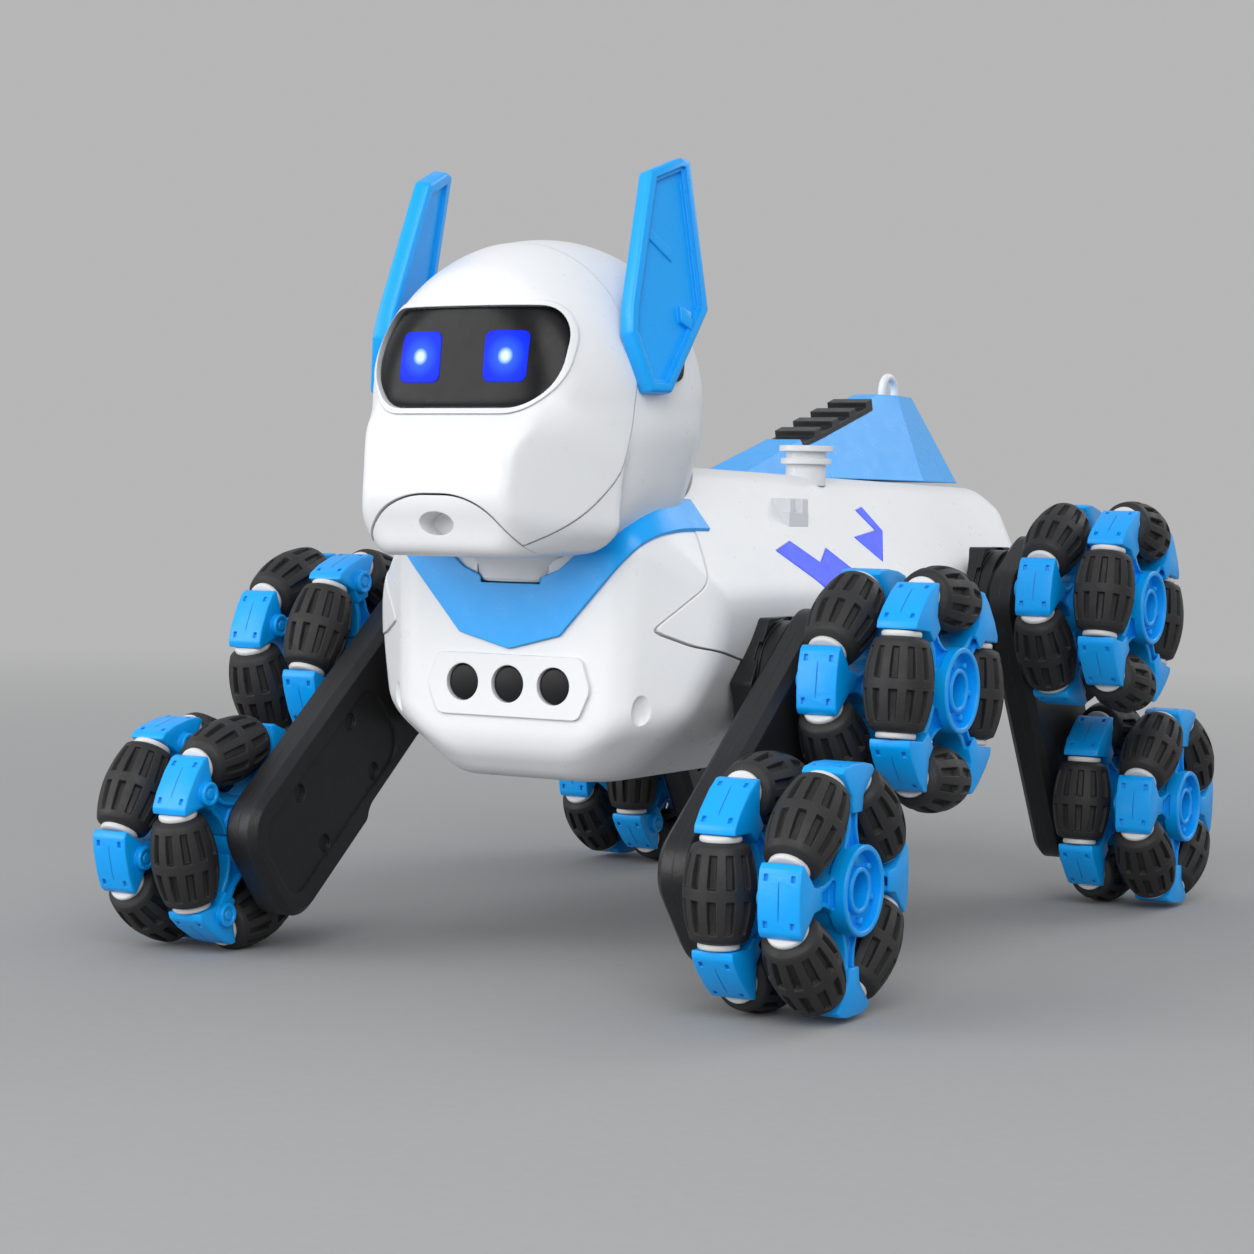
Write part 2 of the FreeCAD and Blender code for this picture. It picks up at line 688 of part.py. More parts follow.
def vent_piece(start, end, half, low, high):
    """Bar lying on the slope, from start to end along it, between two heights above it."""
    angle, foot_y = vent_slope()
    bar = box(-half, half, start, end, low, high)
    bar.rotate(ORIGIN, X_AXIS, degrees(angle))
    bar.translate(V(0, foot_y, tail_base_z))
    return bar


def make_tail():
    cover = tail_cover_form(0)
    pocket = vent_piece(44, 96, vent_half, -3, 6)
    cover = cover.cut([pocket, loop_solid(0)])
    slats = [vent_piece(44 + 13 * k, 44 + 13 * k + 13, vent_half - seat_gap, -3, -1.2) for k in range(4)]
    slats += [vent_piece(44 + 13 * k + 8, 44 + 13 * k + 13, vent_half - seat_gap, -3, 0.8) for k in range(4)]
    save("tail_cover", cover)
    save("tail_vent", slats[0].multiFuse(slats[1:]).removeSplitter())
    save("tail_loop", loop_solid(0))


def loop_solid(gap):
    """Half-round wire loop that stands on the ridge."""
    middle_y = 124.0
    foot_z = tail_top_z - 3
    top_z = tail_top_z + 1.5
    radius = loop_wire + gap
    arch = Part.makeTorus(loop_radius, radius, V(0, middle_y, top_z), X_AXIS)
    arch = arch.common(box(-5, 5, middle_y - 20, middle_y + 20, top_z, top_z + 20))
    legs = [rod_z(0, middle_y + s * loop_radius, foot_z, top_z, radius) for s in (-1, 1)]
    return arch.multiFuse(legs)


def cap_hole():
    return rod_z(cap_x, cap_y, back_z - 9, back_z + 6, cap_radius - 2 + moving_gap)


def make_cap():
    """Round filler cap: a stem in the back shell with two flanges above it."""
    stem = rod_z(cap_x, cap_y, back_z - 4, back_z + cap_height, cap_radius - 2)
    flanges = [rod_z(cap_x, cap_y, back_z + low, back_z + low + 1.8, cap_radius - trim)
               for low, trim in ((2.4, 0.5), (cap_height - 1.8, 0))]
    slot = box(cap_x - cap_radius + 2.5, cap_x + cap_radius - 2.5, cap_y - 0.8, cap_y + 0.8,
               back_z + cap_height - 1, back_z + cap_height + 1)
    save("filler_cap", stem.multiFuse(flanges).cut(slot))


def switch_slot():
    return box(switch_x - 3.3, switch_x + 3.3, switch_y - 6.3 - switch_travel, switch_y + 6.3 + switch_travel,
               back_z - 30, back_z + 5)


def make_switch():
    """Slide button with two tabs, sunk in the flank of the back."""
    plate = box(switch_x - 3, switch_x + 3, switch_y - 6, switch_y + 6, back_z - 16, back_z - 12)
    tabs = [box(switch_x - 3, switch_x + 3, switch_y + s * 4 - 1.5, switch_y + s * 4 + 1.5,
                back_z - 12, back_z - 8) for s in (-1, 1)]
    save("back_switch", plate.multiFuse(tabs))


# ---- head ------------------------------------------------------------------------------------------
def head_stations():
    """Y, lowest, middle and highest Z, half width and squareness of each oval of the head."""
    mid = head_mid_z
    return [(muzzle_y, mid - 27.0, mid - 20.0, mid - 13.0, head_half - 29.0, 2.6),
            (muzzle_y + 10.0, mid - 37.5, mid - 22.0, mid - 8.0, head_half - 21.0, 2.8),
            (face_y - 14.5, mid - 41.0, mid - 21.0, mid - 3.5, head_half - 14.0, 3.0),
            (face_y, mid - 42.0, mid - 15.0, mid + 22.5, head_half - 8.0, 3.0),
            (face_y + 9.5, mid - 42.0, mid - 10.0, mid + 32.0, head_half - 4.0, 2.7),
            (neck_y - 17.0, mid - 42.0, mid, mid + 40.0, head_half, 2.4),
            (neck_y - 3.0, mid - 42.0, mid, mid + 41.0, head_half, 2.3),
            (neck_y + 15.0, mid - 37.0, mid, mid + 37.0, head_half - 4.0, 2.2),
            (neck_y + 31.0, mid - 27.0, mid, mid + 26.0, head_half - 13.0, 2.1),
            (neck_y + 41.0, mid - 15.0, mid, mid + 13.0, head_half - 27.0, 2.0)]


def face_region():
    """Side view of what belongs to the face shell; the rest is the jaw and rear shell."""
    seam = [(-68, -32.5), (-51, -35.5), (-38, -29), (-31, -14), (-28, 2), (-23, 17), (-17, 55)]
    outline = [(neck_y + y, head_mid_z + z) for y, z in seam]
    outline += [(muzzle_y - 20, head_mid_z + 55), (muzzle_y - 20, head_mid_z - 33)]
    return side_prism(outline, -head_half - 10, head_half + 10)


def visor_outline():
    low, high = head_mid_z - visor_below, head_mid_z + visor_above
    return [(-visor_half, low), (visor_half, low), (visor_half, high), (-visor_half, high)]


def make_head():
    """Face shell, rear shell with jaw, visor, eyes and neck."""
    outer = oval_loft(head_stations(), 0)
    wall = outer.cut(oval_loft(head_stations(), head_wall))
    region = face_region()
    band = front_prism(visor_outline(), face_y - 20, face_y + 32, visor_corner)
    visor = outer.cut(oval_loft(head_stations(), visor_depth)).common(band)
    eyes = []
    eye_room = []
    for side in SIDES.values():
        square = [(side * eye_x + sx * eye_width / 2, head_mid_z + eye_above + sz * eye_height / 2)
                  for sx, sz in ((-1, -1), (1, -1), (1, 1), (-1, 1))]
        hole = front_prism(square, face_y - 20, face_y + 17, eye_corner)
        eye_room.append(hole)
        eyes.append(visor.common(hole))
    mouth_z = head_mid_z - mouth_below
    lips = [(sx * mouth_half, mouth_z + sz * mouth_height / 2) for sx, sz in ((-1, -1), (1, -1), (1, 1), (-1, 1))]
    mouth = front_prism(lips, muzzle_y - 10, muzzle_y + 28, 2.2)
    neck = rod_z(0, neck_y, neck_bottom_z, head_mid_z - 33, neck_radius)
    neck_bore = rod_z(0, neck_y, neck_bottom_z, neck_bottom_z + spigot_length + 1, spigot_radius + running_gap)
    save("head_face_shell", wall.common(region).cut(visor))
    save("head_rear_shell", wall.cut(region).cut([mouth, neck]))
    save("visor", visor.cut(eye_room))
    save("eye_lights", eyes)
    save("neck_post", neck.cut(neck_bore))


def ear_outline(inset):
    """Side view of an ear: a tall six-sided blade, drawn in by the inset."""
    points = [(6.5, 63.0), (-10.8, 56.5), (-32.0, 21.0), (-32.5, 13.5), (-23.0, -1.0),
              (-14.5, -1.5), (2.0, 21.0)]
    middle = (neck_y - 12.5, head_mid_z + 25.0)
    found = []
    for y, z in [(neck_y + y, head_mid_z + z) for y, z in points]:
        dy, dz = middle[0] - y, middle[1] - z
        share = inset / hypot(dy, dz)
        found.append((y + dy * share, z + dz * share))
    return found


def make_ear():
    """Left ear: a blade with a raised rim round a sunk panel, leaning inwards."""
    blade = side_prism(ear_outline(0), ear_foot_x, ear_foot_x + ear_thickness, 2.0)
    panel = side_prism(ear_outline(ear_rim + 2.5), ear_foot_x + ear_thickness - ear_recess,
                       ear_foot_x + ear_thickness, 2.0)
    ear = blade.cut(panel)
    ear.rotate(V(ear_foot_x, 0, ear_foot_z), Y_AXIS, -ear_lean)
    return ear


def make_ears():
    left = make_ear()
    save("ear_left", left)
    save("ear_right", mirror_x(left))
    head = oval_loft(head_stations(), 0)
    mount = rod_x(head_half - ear_mount_root, ear_foot_x, neck_y - 17, head_mid_z + 10, ear_mount_radius).cut(left)
    mount = min(mount.Solids, key=lambda solid: solid.CenterOfMass.x)
    mounts = [side.cut(head) for side in both_sides(mount)]
    save("ear_mounts", [max(side.Solids, key=lambda solid: abs(solid.CenterOfMass.x)) for side in mounts])


# ---- the whole dog ---------------------------------------------------------------------------------
def make_legs():
    for end in ENDS:
        for side_name, side in SIDES.items():
            leg = end + "_" + side_name
            inner, outer = make_leg_shells(end, side)
            save(leg + "_leg_inner_shell", inner)
            save(leg + "_leg_outer_shell", outer)
            save(leg + "_drive_belt", make_belt(end, side))


def make_wheels():
    """Each roller of the front left lower wheel is a sub-part of its own."""
    for end, centres in ENDS.items():
        for side_name, side in SIDES.items():
            for level, centre in zip(("lower", "upper"), centres):
                wheel = end + "_" + side_name + "_" + level
                turn = WHEEL_TURNS[wheel]
                save(wheel + "_hub", make_hub(side, centre, turn))
                rollers = make_rollers(side, centre, turn)
                if wheel == "front_left_lower":
                    for number, roller in enumerate(rollers, 1):
                        save(wheel + "_roller_" + str(number), roller)
                else:
                    save(wheel + "_rollers", [part for roller in rollers for part in roller])


os.makedirs("parts", exist_ok=True)
make_body()
make_insides()
make_tail()
make_cap()
make_switch()
make_head()
make_ears()
make_legs()
make_wheels()
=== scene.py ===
import json
from math import cos, hypot, pi, radians, sin, sqrt

import bmesh
import bpy
import numpy as np
from mathutils import Matrix, Vector


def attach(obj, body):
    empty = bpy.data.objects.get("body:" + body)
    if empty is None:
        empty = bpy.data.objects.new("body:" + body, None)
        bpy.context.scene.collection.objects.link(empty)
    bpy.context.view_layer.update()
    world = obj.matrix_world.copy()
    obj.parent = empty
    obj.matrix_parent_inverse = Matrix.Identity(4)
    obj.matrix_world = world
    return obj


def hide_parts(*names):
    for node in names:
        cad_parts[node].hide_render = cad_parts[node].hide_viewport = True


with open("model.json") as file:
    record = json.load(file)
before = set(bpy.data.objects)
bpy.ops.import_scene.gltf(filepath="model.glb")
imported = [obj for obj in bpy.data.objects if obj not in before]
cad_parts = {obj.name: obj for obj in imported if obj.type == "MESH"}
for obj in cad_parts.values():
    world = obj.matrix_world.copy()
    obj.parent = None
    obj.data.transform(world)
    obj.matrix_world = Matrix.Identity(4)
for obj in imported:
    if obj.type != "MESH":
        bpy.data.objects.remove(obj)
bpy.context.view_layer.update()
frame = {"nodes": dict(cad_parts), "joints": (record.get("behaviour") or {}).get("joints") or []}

# ---- places, read from the frame ------------------------------------------------------------
# Lengths below are in millimetres, about the point midway between the lower axles on the
# floor; place() turns them into metres in the row frame.
MM = 0.001
JOINTS = {joint["name"]: joint for joint in frame["joints"]}


def joint_point(name):
    return Vector(JOINTS[name]["pos_m"])


MID_Y = (joint_point("front_left_lower_spin").y + joint_point("rear_left_lower_spin").y) / 2


def place(x, y, z):
    return Vector((x * MM, y * MM + MID_Y, z * MM))


# ---- mesh helpers ----------------------------------------------------------------------------
def link(name, mesh, material=None):
    piece = bpy.data.objects.new(name, mesh)
    bpy.context.scene.collection.objects.link(piece)
    if material:
        mesh.materials.append(material)
    return piece


def soften(mesh, angle=35):
    """Smooth shading with creases kept where faces meet at more than the angle."""
    mesh.shade_smooth()
    mesh.set_sharp_from_angle(angle=radians(angle))


def mesh_of(bm, name):
    mesh = bpy.data.meshes.new(name)
    bmesh.ops.recalc_face_normals(bm, faces=bm.faces)
    bm.to_mesh(mesh)
    bm.free()
    return mesh


def prism(outline, low, high, bevel=0.0, segments=2, frame_matrix=None):
    """Closed bmesh: an outline of (a, b) pairs swept along c, with all its edges rounded."""
    bm = bmesh.new()
    bottom = [bm.verts.new((a, b, low)) for a, b in outline]
    bm.faces.new(bottom)
    swept = bmesh.ops.extrude_face_region(bm, geom=bm.faces[:])
    top = [v for v in swept["geom"] if isinstance(v, bmesh.types.BMVert)]
    bmesh.ops.translate(bm, verts=top, vec=(0, 0, high - low))
    bmesh.ops.recalc_face_normals(bm, faces=bm.faces)
    if bevel:
        edges = [e for e in bm.edges if e.calc_face_angle(0) > radians(20)]
        bmesh.ops.bevel(bm, geom=edges, offset=bevel, segments=segments, profile=0.5, affect="EDGES",
                        clamp_overlap=True)
    if frame_matrix:
        bmesh.ops.transform(bm, matrix=frame_matrix, verts=bm.verts)
    return bm


def lathe(profile, steps, axis="X"):
    """Closed bmesh turned from (along, radius) pairs; the ends are closed where the radius is 0."""
    bm = bmesh.new()
    rings = []
    for along, radius in profile:
        if radius < 1e-6:
            rings.append([bm.verts.new((along, 0, 0))])
        else:
            rings.append([bm.verts.new((along, radius * cos(2 * pi * i / steps),
                                        radius * sin(2 * pi * i / steps))) for i in range(steps)])
    pairs = list(zip(rings, rings[1:]))
    if len(rings[0]) > 1:
        pairs.append((rings[-1], rings[0]))
    for first, second in pairs:
        for i in range(steps):
            j = (i + 1) % steps
            corners = [first[i % len(first)], first[j % len(first)],
                       second[j % len(second)], second[i % len(second)]]
            unique = list(dict.fromkeys(corners))
            if len(unique) > 2:
                bm.faces.new(unique)
    if axis == "Z":
        bmesh.ops.transform(bm, matrix=Matrix.Rotation(-pi / 2, 4, "Y"), verts=bm.verts)
    return bm


def combine(piece, tool, operation):
    """Applies one boolean operation to the piece at once."""
    modifier = piece.modifiers.new("combine", "BOOLEAN")
    modifier.operation = operation
    modifier.solver = "MANIFOLD"
    modifier.object = tool
    bpy.context.view_layer.update()
    evaluated = piece.evaluated_get(bpy.context.evaluated_depsgraph_get())
    mesh = bpy.data.meshes.new_from_object(evaluated)
    old = piece.data
    piece.modifiers.clear()
    piece.data = mesh
    mesh.name = old.name


def copy_bm(mesh):
    bm = bmesh.new()
    bm.from_mesh(mesh)
    return bm


def shaped(name, start, *steps):
    """The start bmesh taken through ("UNION" | "DIFFERENCE" | "INTERSECT", bmesh) steps."""
    piece = bpy.data.objects.new(name, mesh_of(start, name))
    bpy.context.scene.collection.objects.link(piece)
    for operation, other in steps:
        tool = bpy.data.objects.new("tool", mesh_of(other, "tool"))
        bpy.context.scene.collection.objects.link(tool)
        combine(piece, tool, operation)
        bpy.data.objects.remove(tool)
    mesh = piece.data
    bpy.data.objects.remove(piece)
    return mesh


# ---- shells drawn as distance fields -----------------------------------------------------------
# A form is a function of the arrays x, y, z in millimetres that is negative inside.
def smooth_max(values, fillet):
    total = values[0]
    for value in values[1:]:
        blend = np.clip(0.5 + 0.5 * (total - value) / fillet, 0, 1)
        total = value + (total - value) * blend + fillet * blend * (1 - blend)
    return total


def smooth_min(first, second, fillet):
    return -smooth_max([-first, -second], fillet)


def ellipsoid(x, y, z, centre, radii):
    u, v, w = ((a - c) / r for a, c, r in zip((x, y, z), centre, radii))
    return (np.sqrt(u * u + v * v + w * w) - 1) * min(radii)


def facets(x, y, z, planes, fillet):
    """Solid bounded by planes, each given by a point on it and its outward normal."""
    sides = []
    for (px, py, pz), (nx, ny, nz) in planes:
        length = sqrt(nx * nx + ny * ny + nz * nz)
        sides.append(((x - px) * nx + (y - py) * ny + (z - pz) * nz) / length)
    return smooth_max(sides, fillet)


def surface_net(form, low, high, step):
    """Closed mesh of the form's surface, its corners pulled onto the surface itself."""
    counts = [int((h - l) / step) + 2 for l, h in zip(low, high)]
    axes = [l + step * np.arange(n) for l, n in zip(low, counts)]
    grid = np.meshgrid(*axes, indexing="ij")
    value = form(*grid)
    inside = value < 0
    corners = [inside[i:counts[0] - 1 + i, j:counts[1] - 1 + j, k:counts[2] - 1 + k]
               for i in (0, 1) for j in (0, 1) for k in (0, 1)]
    filled = sum(c.astype(np.int8) for c in corners)
    cells = np.argwhere((filled > 0) & (filled < 8))
    number = -np.ones(filled.shape, np.int64)
    number[tuple(cells.T)] = np.arange(len(cells))
    total = np.zeros((len(cells), 3))
    hits = np.zeros(len(cells))
    ends = [(i, j, k) for i in (0, 1) for j in (0, 1) for k in (0, 1)]
    for a in ends:
        for b in ends:
            if sum(b) - sum(a) != 1 or any(q < p for p, q in zip(a, b)):
                continue
            first, second = value[tuple((cells + a).T)], value[tuple((cells + b).T)]
            crossing = (first < 0) != (second < 0)
            share = np.where(crossing, first / np.where(crossing, first - second, 1), 0)[:, None]
            total += np.where(crossing[:, None], np.array(a) + share * (np.array(b) - np.array(a)), 0)
            hits += crossing
    points = np.array(low) + step * (cells + total / hits[:, None])
    for _ in range(3):
        reach = 0.02
        here = form(*points.T)
        slope = np.stack([form(*(points + reach * unit).T) - here for unit in np.eye(3)], 1) / reach
        length = np.maximum((slope ** 2).sum(1), 0.05)
        move = np.clip(-here / length, -step * 0.5, step * 0.5)
        points += slope * move[:, None]
    faces = []
    for axis in range(3):
        one, two = (axis + 1) % 3, (axis + 2) % 3
        first = [slice(1, n - 1) for n in counts]
        first[axis] = slice(0, counts[axis] - 1)
        second = list(first)
        second[axis] = slice(1, counts[axis])
        start, stop = inside[tuple(first)], inside[tuple(second)]
        for flip in (False, True):
            where = np.argwhere(start & ~stop if not flip else ~start & stop)
            where[:, one] += 1
            where[:, two] += 1
            back_one, back_two = np.eye(3, dtype=int)[one], np.eye(3, dtype=int)[two]
            ring = [where, where - back_one, where - back_one - back_two, where - back_two]
            if flip:
                ring = ring[::-1]
            faces.append(np.stack([number[tuple(r.T)] for r in ring], 1))
    return points, np.concatenate(faces)


def mesh_from(points, faces, name):
    mesh = bpy.data.meshes.new(name)
    mesh.from_pydata(points.tolist(), [], faces.tolist())
    mesh.update()
    return mesh


def field_bm(form, low, high, step):
    """The form's surface as a bmesh in millimetres."""
    mesh = mesh_from(*surface_net(form, low, high, step), "field")
    bm = bmesh.new()
    bm.from_mesh(mesh)
    bpy.data.meshes.remove(mesh)
    return bm


# ---- materials -------------------------------------------------------------------------------
def nodes_of(name):
    material = bpy.data.materials.new(name)
    material.use_nodes = True
    tree = material.node_tree
    return material, tree, tree.nodes["Principled BSDF"]


def noise(tree, coordinates, scale, detail=3.0):
    node = tree.nodes.new("ShaderNodeTexNoise")
    node.inputs["Scale"].default_value = scale
    node.inputs["Detail"].default_value = detail
    tree.links.new(coordinates.outputs["Object"], node.inputs["Vector"])
    return node.outputs["Fac"]


def ranged(tree, value, low, high, start=0.3, end=0.7):
    node = tree.nodes.new("ShaderNodeMapRange")
    for key, number in (("From Min", start), ("From Max", end), ("To Min", low), ("To Max", high)):
        node.inputs[key].default_value = number
    tree.links.new(value, node.inputs["Value"])
    return node.outputs["Result"]


def mixed(tree, factor, first, second):
    node = tree.nodes.new("ShaderNodeMix")
    node.data_type = "RGBA"
    tree.links.new(factor, node.inputs["Factor"])
    for socket, colour in ((node.inputs[6], first), (node.inputs[7], second)):
        if isinstance(colour, tuple):
            socket.default_value = (*colour, 1)
        else:
            tree.links.new(colour, socket)
    return node.outputs[2]


def times(tree, first, second):
    node = tree.nodes.new("ShaderNodeMath")
    node.operation = "MULTIPLY"
    for socket, value in zip(node.inputs, (first, second)):
        if isinstance(value, (int, float)):
            socket.default_value = value
        else:
            tree.links.new(value, socket)
    return node.outputs[0]


def edge_mask(tree, radius):
    """1 on the piece's edges and 0 on its faces, from how far the rounded normal turns."""
    bevel = tree.nodes.new("ShaderNodeBevel")
    bevel.samples = 4
    bevel.inputs["Radius"].default_value = radius
    geometry = tree.nodes.new("ShaderNodeNewGeometry")
    dot = tree.nodes.new("ShaderNodeVectorMath")
    dot.operation = "DOT_PRODUCT"
    tree.links.new(bevel.outputs[0], dot.inputs[0])
    tree.links.new(geometry.outputs["Normal"], dot.inputs[1])
    return ranged(tree, dot.outputs["Value"], 1.0, 0.0, 0.86, 0.995)


# Noise scales per metre, and widths and depths in metres, shared by every finish.
BROAD_SCALE = 22
FINE_SCALE = 240
WORN_EDGE = 0.0006
SOFT_EDGE = 0.0005
GRAIN_DEPTH = 0.0004


def finish_of(name, colour, tint, rough, grain=0.08, grain_scale=1400, wear=0.25, wear_colour=None,
              metallic=0.0, specular=0.4, emission=None):
    """Material with uneven colour and gloss, a moulded or sanded grain, and rubbed edges."""
    material, tree, shader = nodes_of(name)
    coordinates = tree.nodes.new("ShaderNodeTexCoord")
    broad = noise(tree, coordinates, BROAD_SCALE, 4)
    fine = noise(tree, coordinates, FINE_SCALE, 5)
    base = mixed(tree, ranged(tree, broad, 0, 1), colour, tint)
    worn = times(tree, edge_mask(tree, WORN_EDGE), ranged(tree, fine, 0, wear, 0.35, 0.65))
    base = mixed(tree, worn, base, wear_colour or tuple(min(1.0, c * 1.6 + 0.05) for c in colour))
    tree.links.new(base, shader.inputs["Base Color"])
    tree.links.new(ranged(tree, fine, rough[0], rough[1], 0.3, 0.7), shader.inputs["Roughness"])
    bump = tree.nodes.new("ShaderNodeBump")
    bump.inputs["Strength"].default_value = grain
    bump.inputs["Distance"].default_value = GRAIN_DEPTH
    tree.links.new(noise(tree, coordinates, grain_scale, 2), bump.inputs["Height"])
    soft = tree.nodes.new("ShaderNodeBevel")
    soft.samples = 4
    soft.inputs["Radius"].default_value = SOFT_EDGE
    tree.links.new(soft.outputs[0], bump.inputs["Normal"])
    tree.links.new(bump.outputs["Normal"], shader.inputs["Normal"])
    shader.inputs["Metallic"].default_value = metallic
    shader.inputs["Specular IOR Level"].default_value = specular
    if emission:
        glow, strength = emission
        tree.links.new(mixed(tree, ranged(tree, fine, 0, 0.3), glow, tint), shader.inputs["Emission Color"])
        shader.inputs["Emission Strength"].default_value = strength
    return material


# Middle of the left eye, and how far its glow reaches, in millimetres.
EYE_X = 13
EYE_Z = 162.5
EYE_GLOW = 8.2


def eye_material():
    """Lit square: white in its middle, then bright blue, fading to deep blue at its edge."""
    material = finish_of("eye_blue", (0.0, 0.01, 0.4), (0.0, 0.02, 0.5), (0.3, 0.4), specular=0.1)
    tree = material.node_tree
    shader = tree.nodes["Principled BSDF"]
    coordinates = tree.nodes.new("ShaderNodeTexCoord")
    parts = tree.nodes.new("ShaderNodeSeparateXYZ")
    tree.links.new(coordinates.outputs["Object"], parts.inputs[0])
    across = tree.nodes.new("ShaderNodeMath")
    across.operation = "ABSOLUTE"
    tree.links.new(parts.outputs["X"], across.inputs[0])
    point = tree.nodes.new("ShaderNodeCombineXYZ")
    tree.links.new(across.outputs[0], point.inputs["X"])
    tree.links.new(parts.outputs["Z"], point.inputs["Z"])
    distance = tree.nodes.new("ShaderNodeVectorMath")
    distance.operation = "DISTANCE"
    distance.inputs[1].default_value = (EYE_X * MM, 0, EYE_Z * MM)
    tree.links.new(point.outputs[0], distance.inputs[0])
    ramp = tree.nodes.new("ShaderNodeValToRGB")
    stops = ((0.0, (0.85, 0.93, 1)), (0.13, (0.45, 0.65, 1)), (0.28, (0.02, 0.08, 1)),
             (0.68, (0.0, 0.01, 0.75)), (1.0, (0.0, 0.0, 0.18)))
    while len(ramp.color_ramp.elements) < len(stops):
        ramp.color_ramp.elements.new(0.5)
    for element, (place_on, colour) in zip(ramp.color_ramp.elements, stops):
        element.position = place_on
        element.color = (*colour, 1)
    tree.links.new(ranged(tree, distance.outputs["Value"], 0, 1, 0.0, EYE_GLOW * MM), ramp.inputs["Fac"])
    tree.links.new(ramp.outputs["Color"], shader.inputs["Emission Color"])
    shader.inputs["Emission Strength"].default_value = 1.5
    return material


def make_materials():
    white, blue, black = (0.78, 0.79, 0.80), (0.0, 0.37, 0.93), (0.009, 0.009, 0.01)
    rubbed_blue = (0.1, 0.45, 0.9)
    return {
        "white": finish_of("white_plastic", white, (0.74, 0.75, 0.765), (0.27, 0.36),
                           wear_colour=(0.84, 0.84, 0.84)),
        "blue": finish_of("blue_plastic", blue, (0.0, 0.345, 0.88), (0.26, 0.36), wear_colour=rubbed_blue),
        "hub": finish_of("blue_hub_plastic", blue, (0.0, 0.335, 0.86), (0.3, 0.42), 0.12,
                         wear_colour=rubbed_blue),
        "rubber": finish_of("black_rubber", (0.016, 0.016, 0.017), (0.024, 0.023, 0.023), (0.5, 0.68),
                            0.25, 900, 0.5, (0.07, 0.068, 0.066)),
        "washer": finish_of("white_washer", (0.70, 0.70, 0.69), (0.62, 0.62, 0.61), (0.34, 0.46)),
        "black": finish_of("black_plastic", black, (0.017, 0.017, 0.018), (0.34, 0.46),
                           0.14, 1100, 0.4, (0.05, 0.05, 0.052)),
        "visor": finish_of("piano_black", (0.003, 0.003, 0.0035), (0.005, 0.005, 0.006), (0.24, 0.32),
                           0.01, 600, 0.15, (0.03, 0.03, 0.03), specular=0.22),
        "eye": eye_material(),
        "lens": finish_of("light_lens", (0.005, 0.03, 0.5), (0.01, 0.05, 0.62), (0.3, 0.4), 0.03,
                          emission=((0.0, 0.04, 0.95), 0.55), specular=0.25),
        "window": finish_of("dark_window", (0.004, 0.004, 0.005), (0.007, 0.007, 0.008), (0.3, 0.4), 0.01,
                            specular=0.2),
        "board": finish_of("circuit_board", (0.01, 0.13, 0.04), (0.02, 0.2, 0.06), (0.3, 0.45)),
        "battery": finish_of("battery_wrap", (0.03, 0.06, 0.25), (0.04, 0.08, 0.3), (0.25, 0.4)),
        "speaker": finish_of("speaker_cone", (0.02, 0.02, 0.02), (0.035, 0.035, 0.035), (0.6, 0.8), 0.3),
        "steel": finish_of("zinc_steel", (0.55, 0.55, 0.56), (0.42, 0.42, 0.43), (0.2, 0.34),
                           0.1, 2200, 0.4, (0.75, 0.75, 0.76), 1.0),
        "belt": finish_of("belt_rubber", (0.018, 0.018, 0.018), (0.03, 0.03, 0.03), (0.6, 0.8), 0.3),
    }


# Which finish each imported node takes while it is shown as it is: the first key in its name counts.
NODE_FINISH = (("leg_", "black"), ("drive_belt", "belt"), ("roller", "rubber"), ("_hub", "hub"),
               ("head_", "white"), ("visor", "visor"), ("eye_lights", "eye"), ("side_lights", "lens"),
               ("chest_windows", "window"), ("circuit_board", "board"), ("battery_pack", "battery"),
               ("speaker", "speaker"), ("hip_motors", "steel"), ("shell_screws", "steel"),
               ("ear_mounts", "black"), ("ear_", "blue"), ("tail_cover", "blue"),
               ("chest_collar", "blue"), ("tail_vent", "black"), ("hip_plates", "black"))


def dress_frame(materials):
    for name, node in frame["nodes"].items():
        finish = next((f for key, f in NODE_FINISH if key in name), "white")
        node.data.materials.clear()
        node.data.materials.append(materials[finish])
        if not any(modifier.type == "EDGE_SPLIT" for modifier in node.modifiers):
            node.data.shade_smooth()
            node.data.set_sharp_from_angle(angle=radians(30))


# ---- wheels ------------------------------------------------------------------------------------
# Drawn in millimetres with X outward along the axle, Y forward and Z up, then moved to its place.
WHEEL_RADIUS = 32.5
ROW_PITCH = 19.6
ROLLER_AXIS = 23.4
ROLLER_HALF = 12.2
FORK_FACE = 14.1
HUB_HALF = 17.8
RIBS = 12
# Where each row of rollers lies along the axle, and how far it is turned.
ROWS = ((ROW_PITCH / 2, 0.0), (-ROW_PITCH / 2, pi / 4))


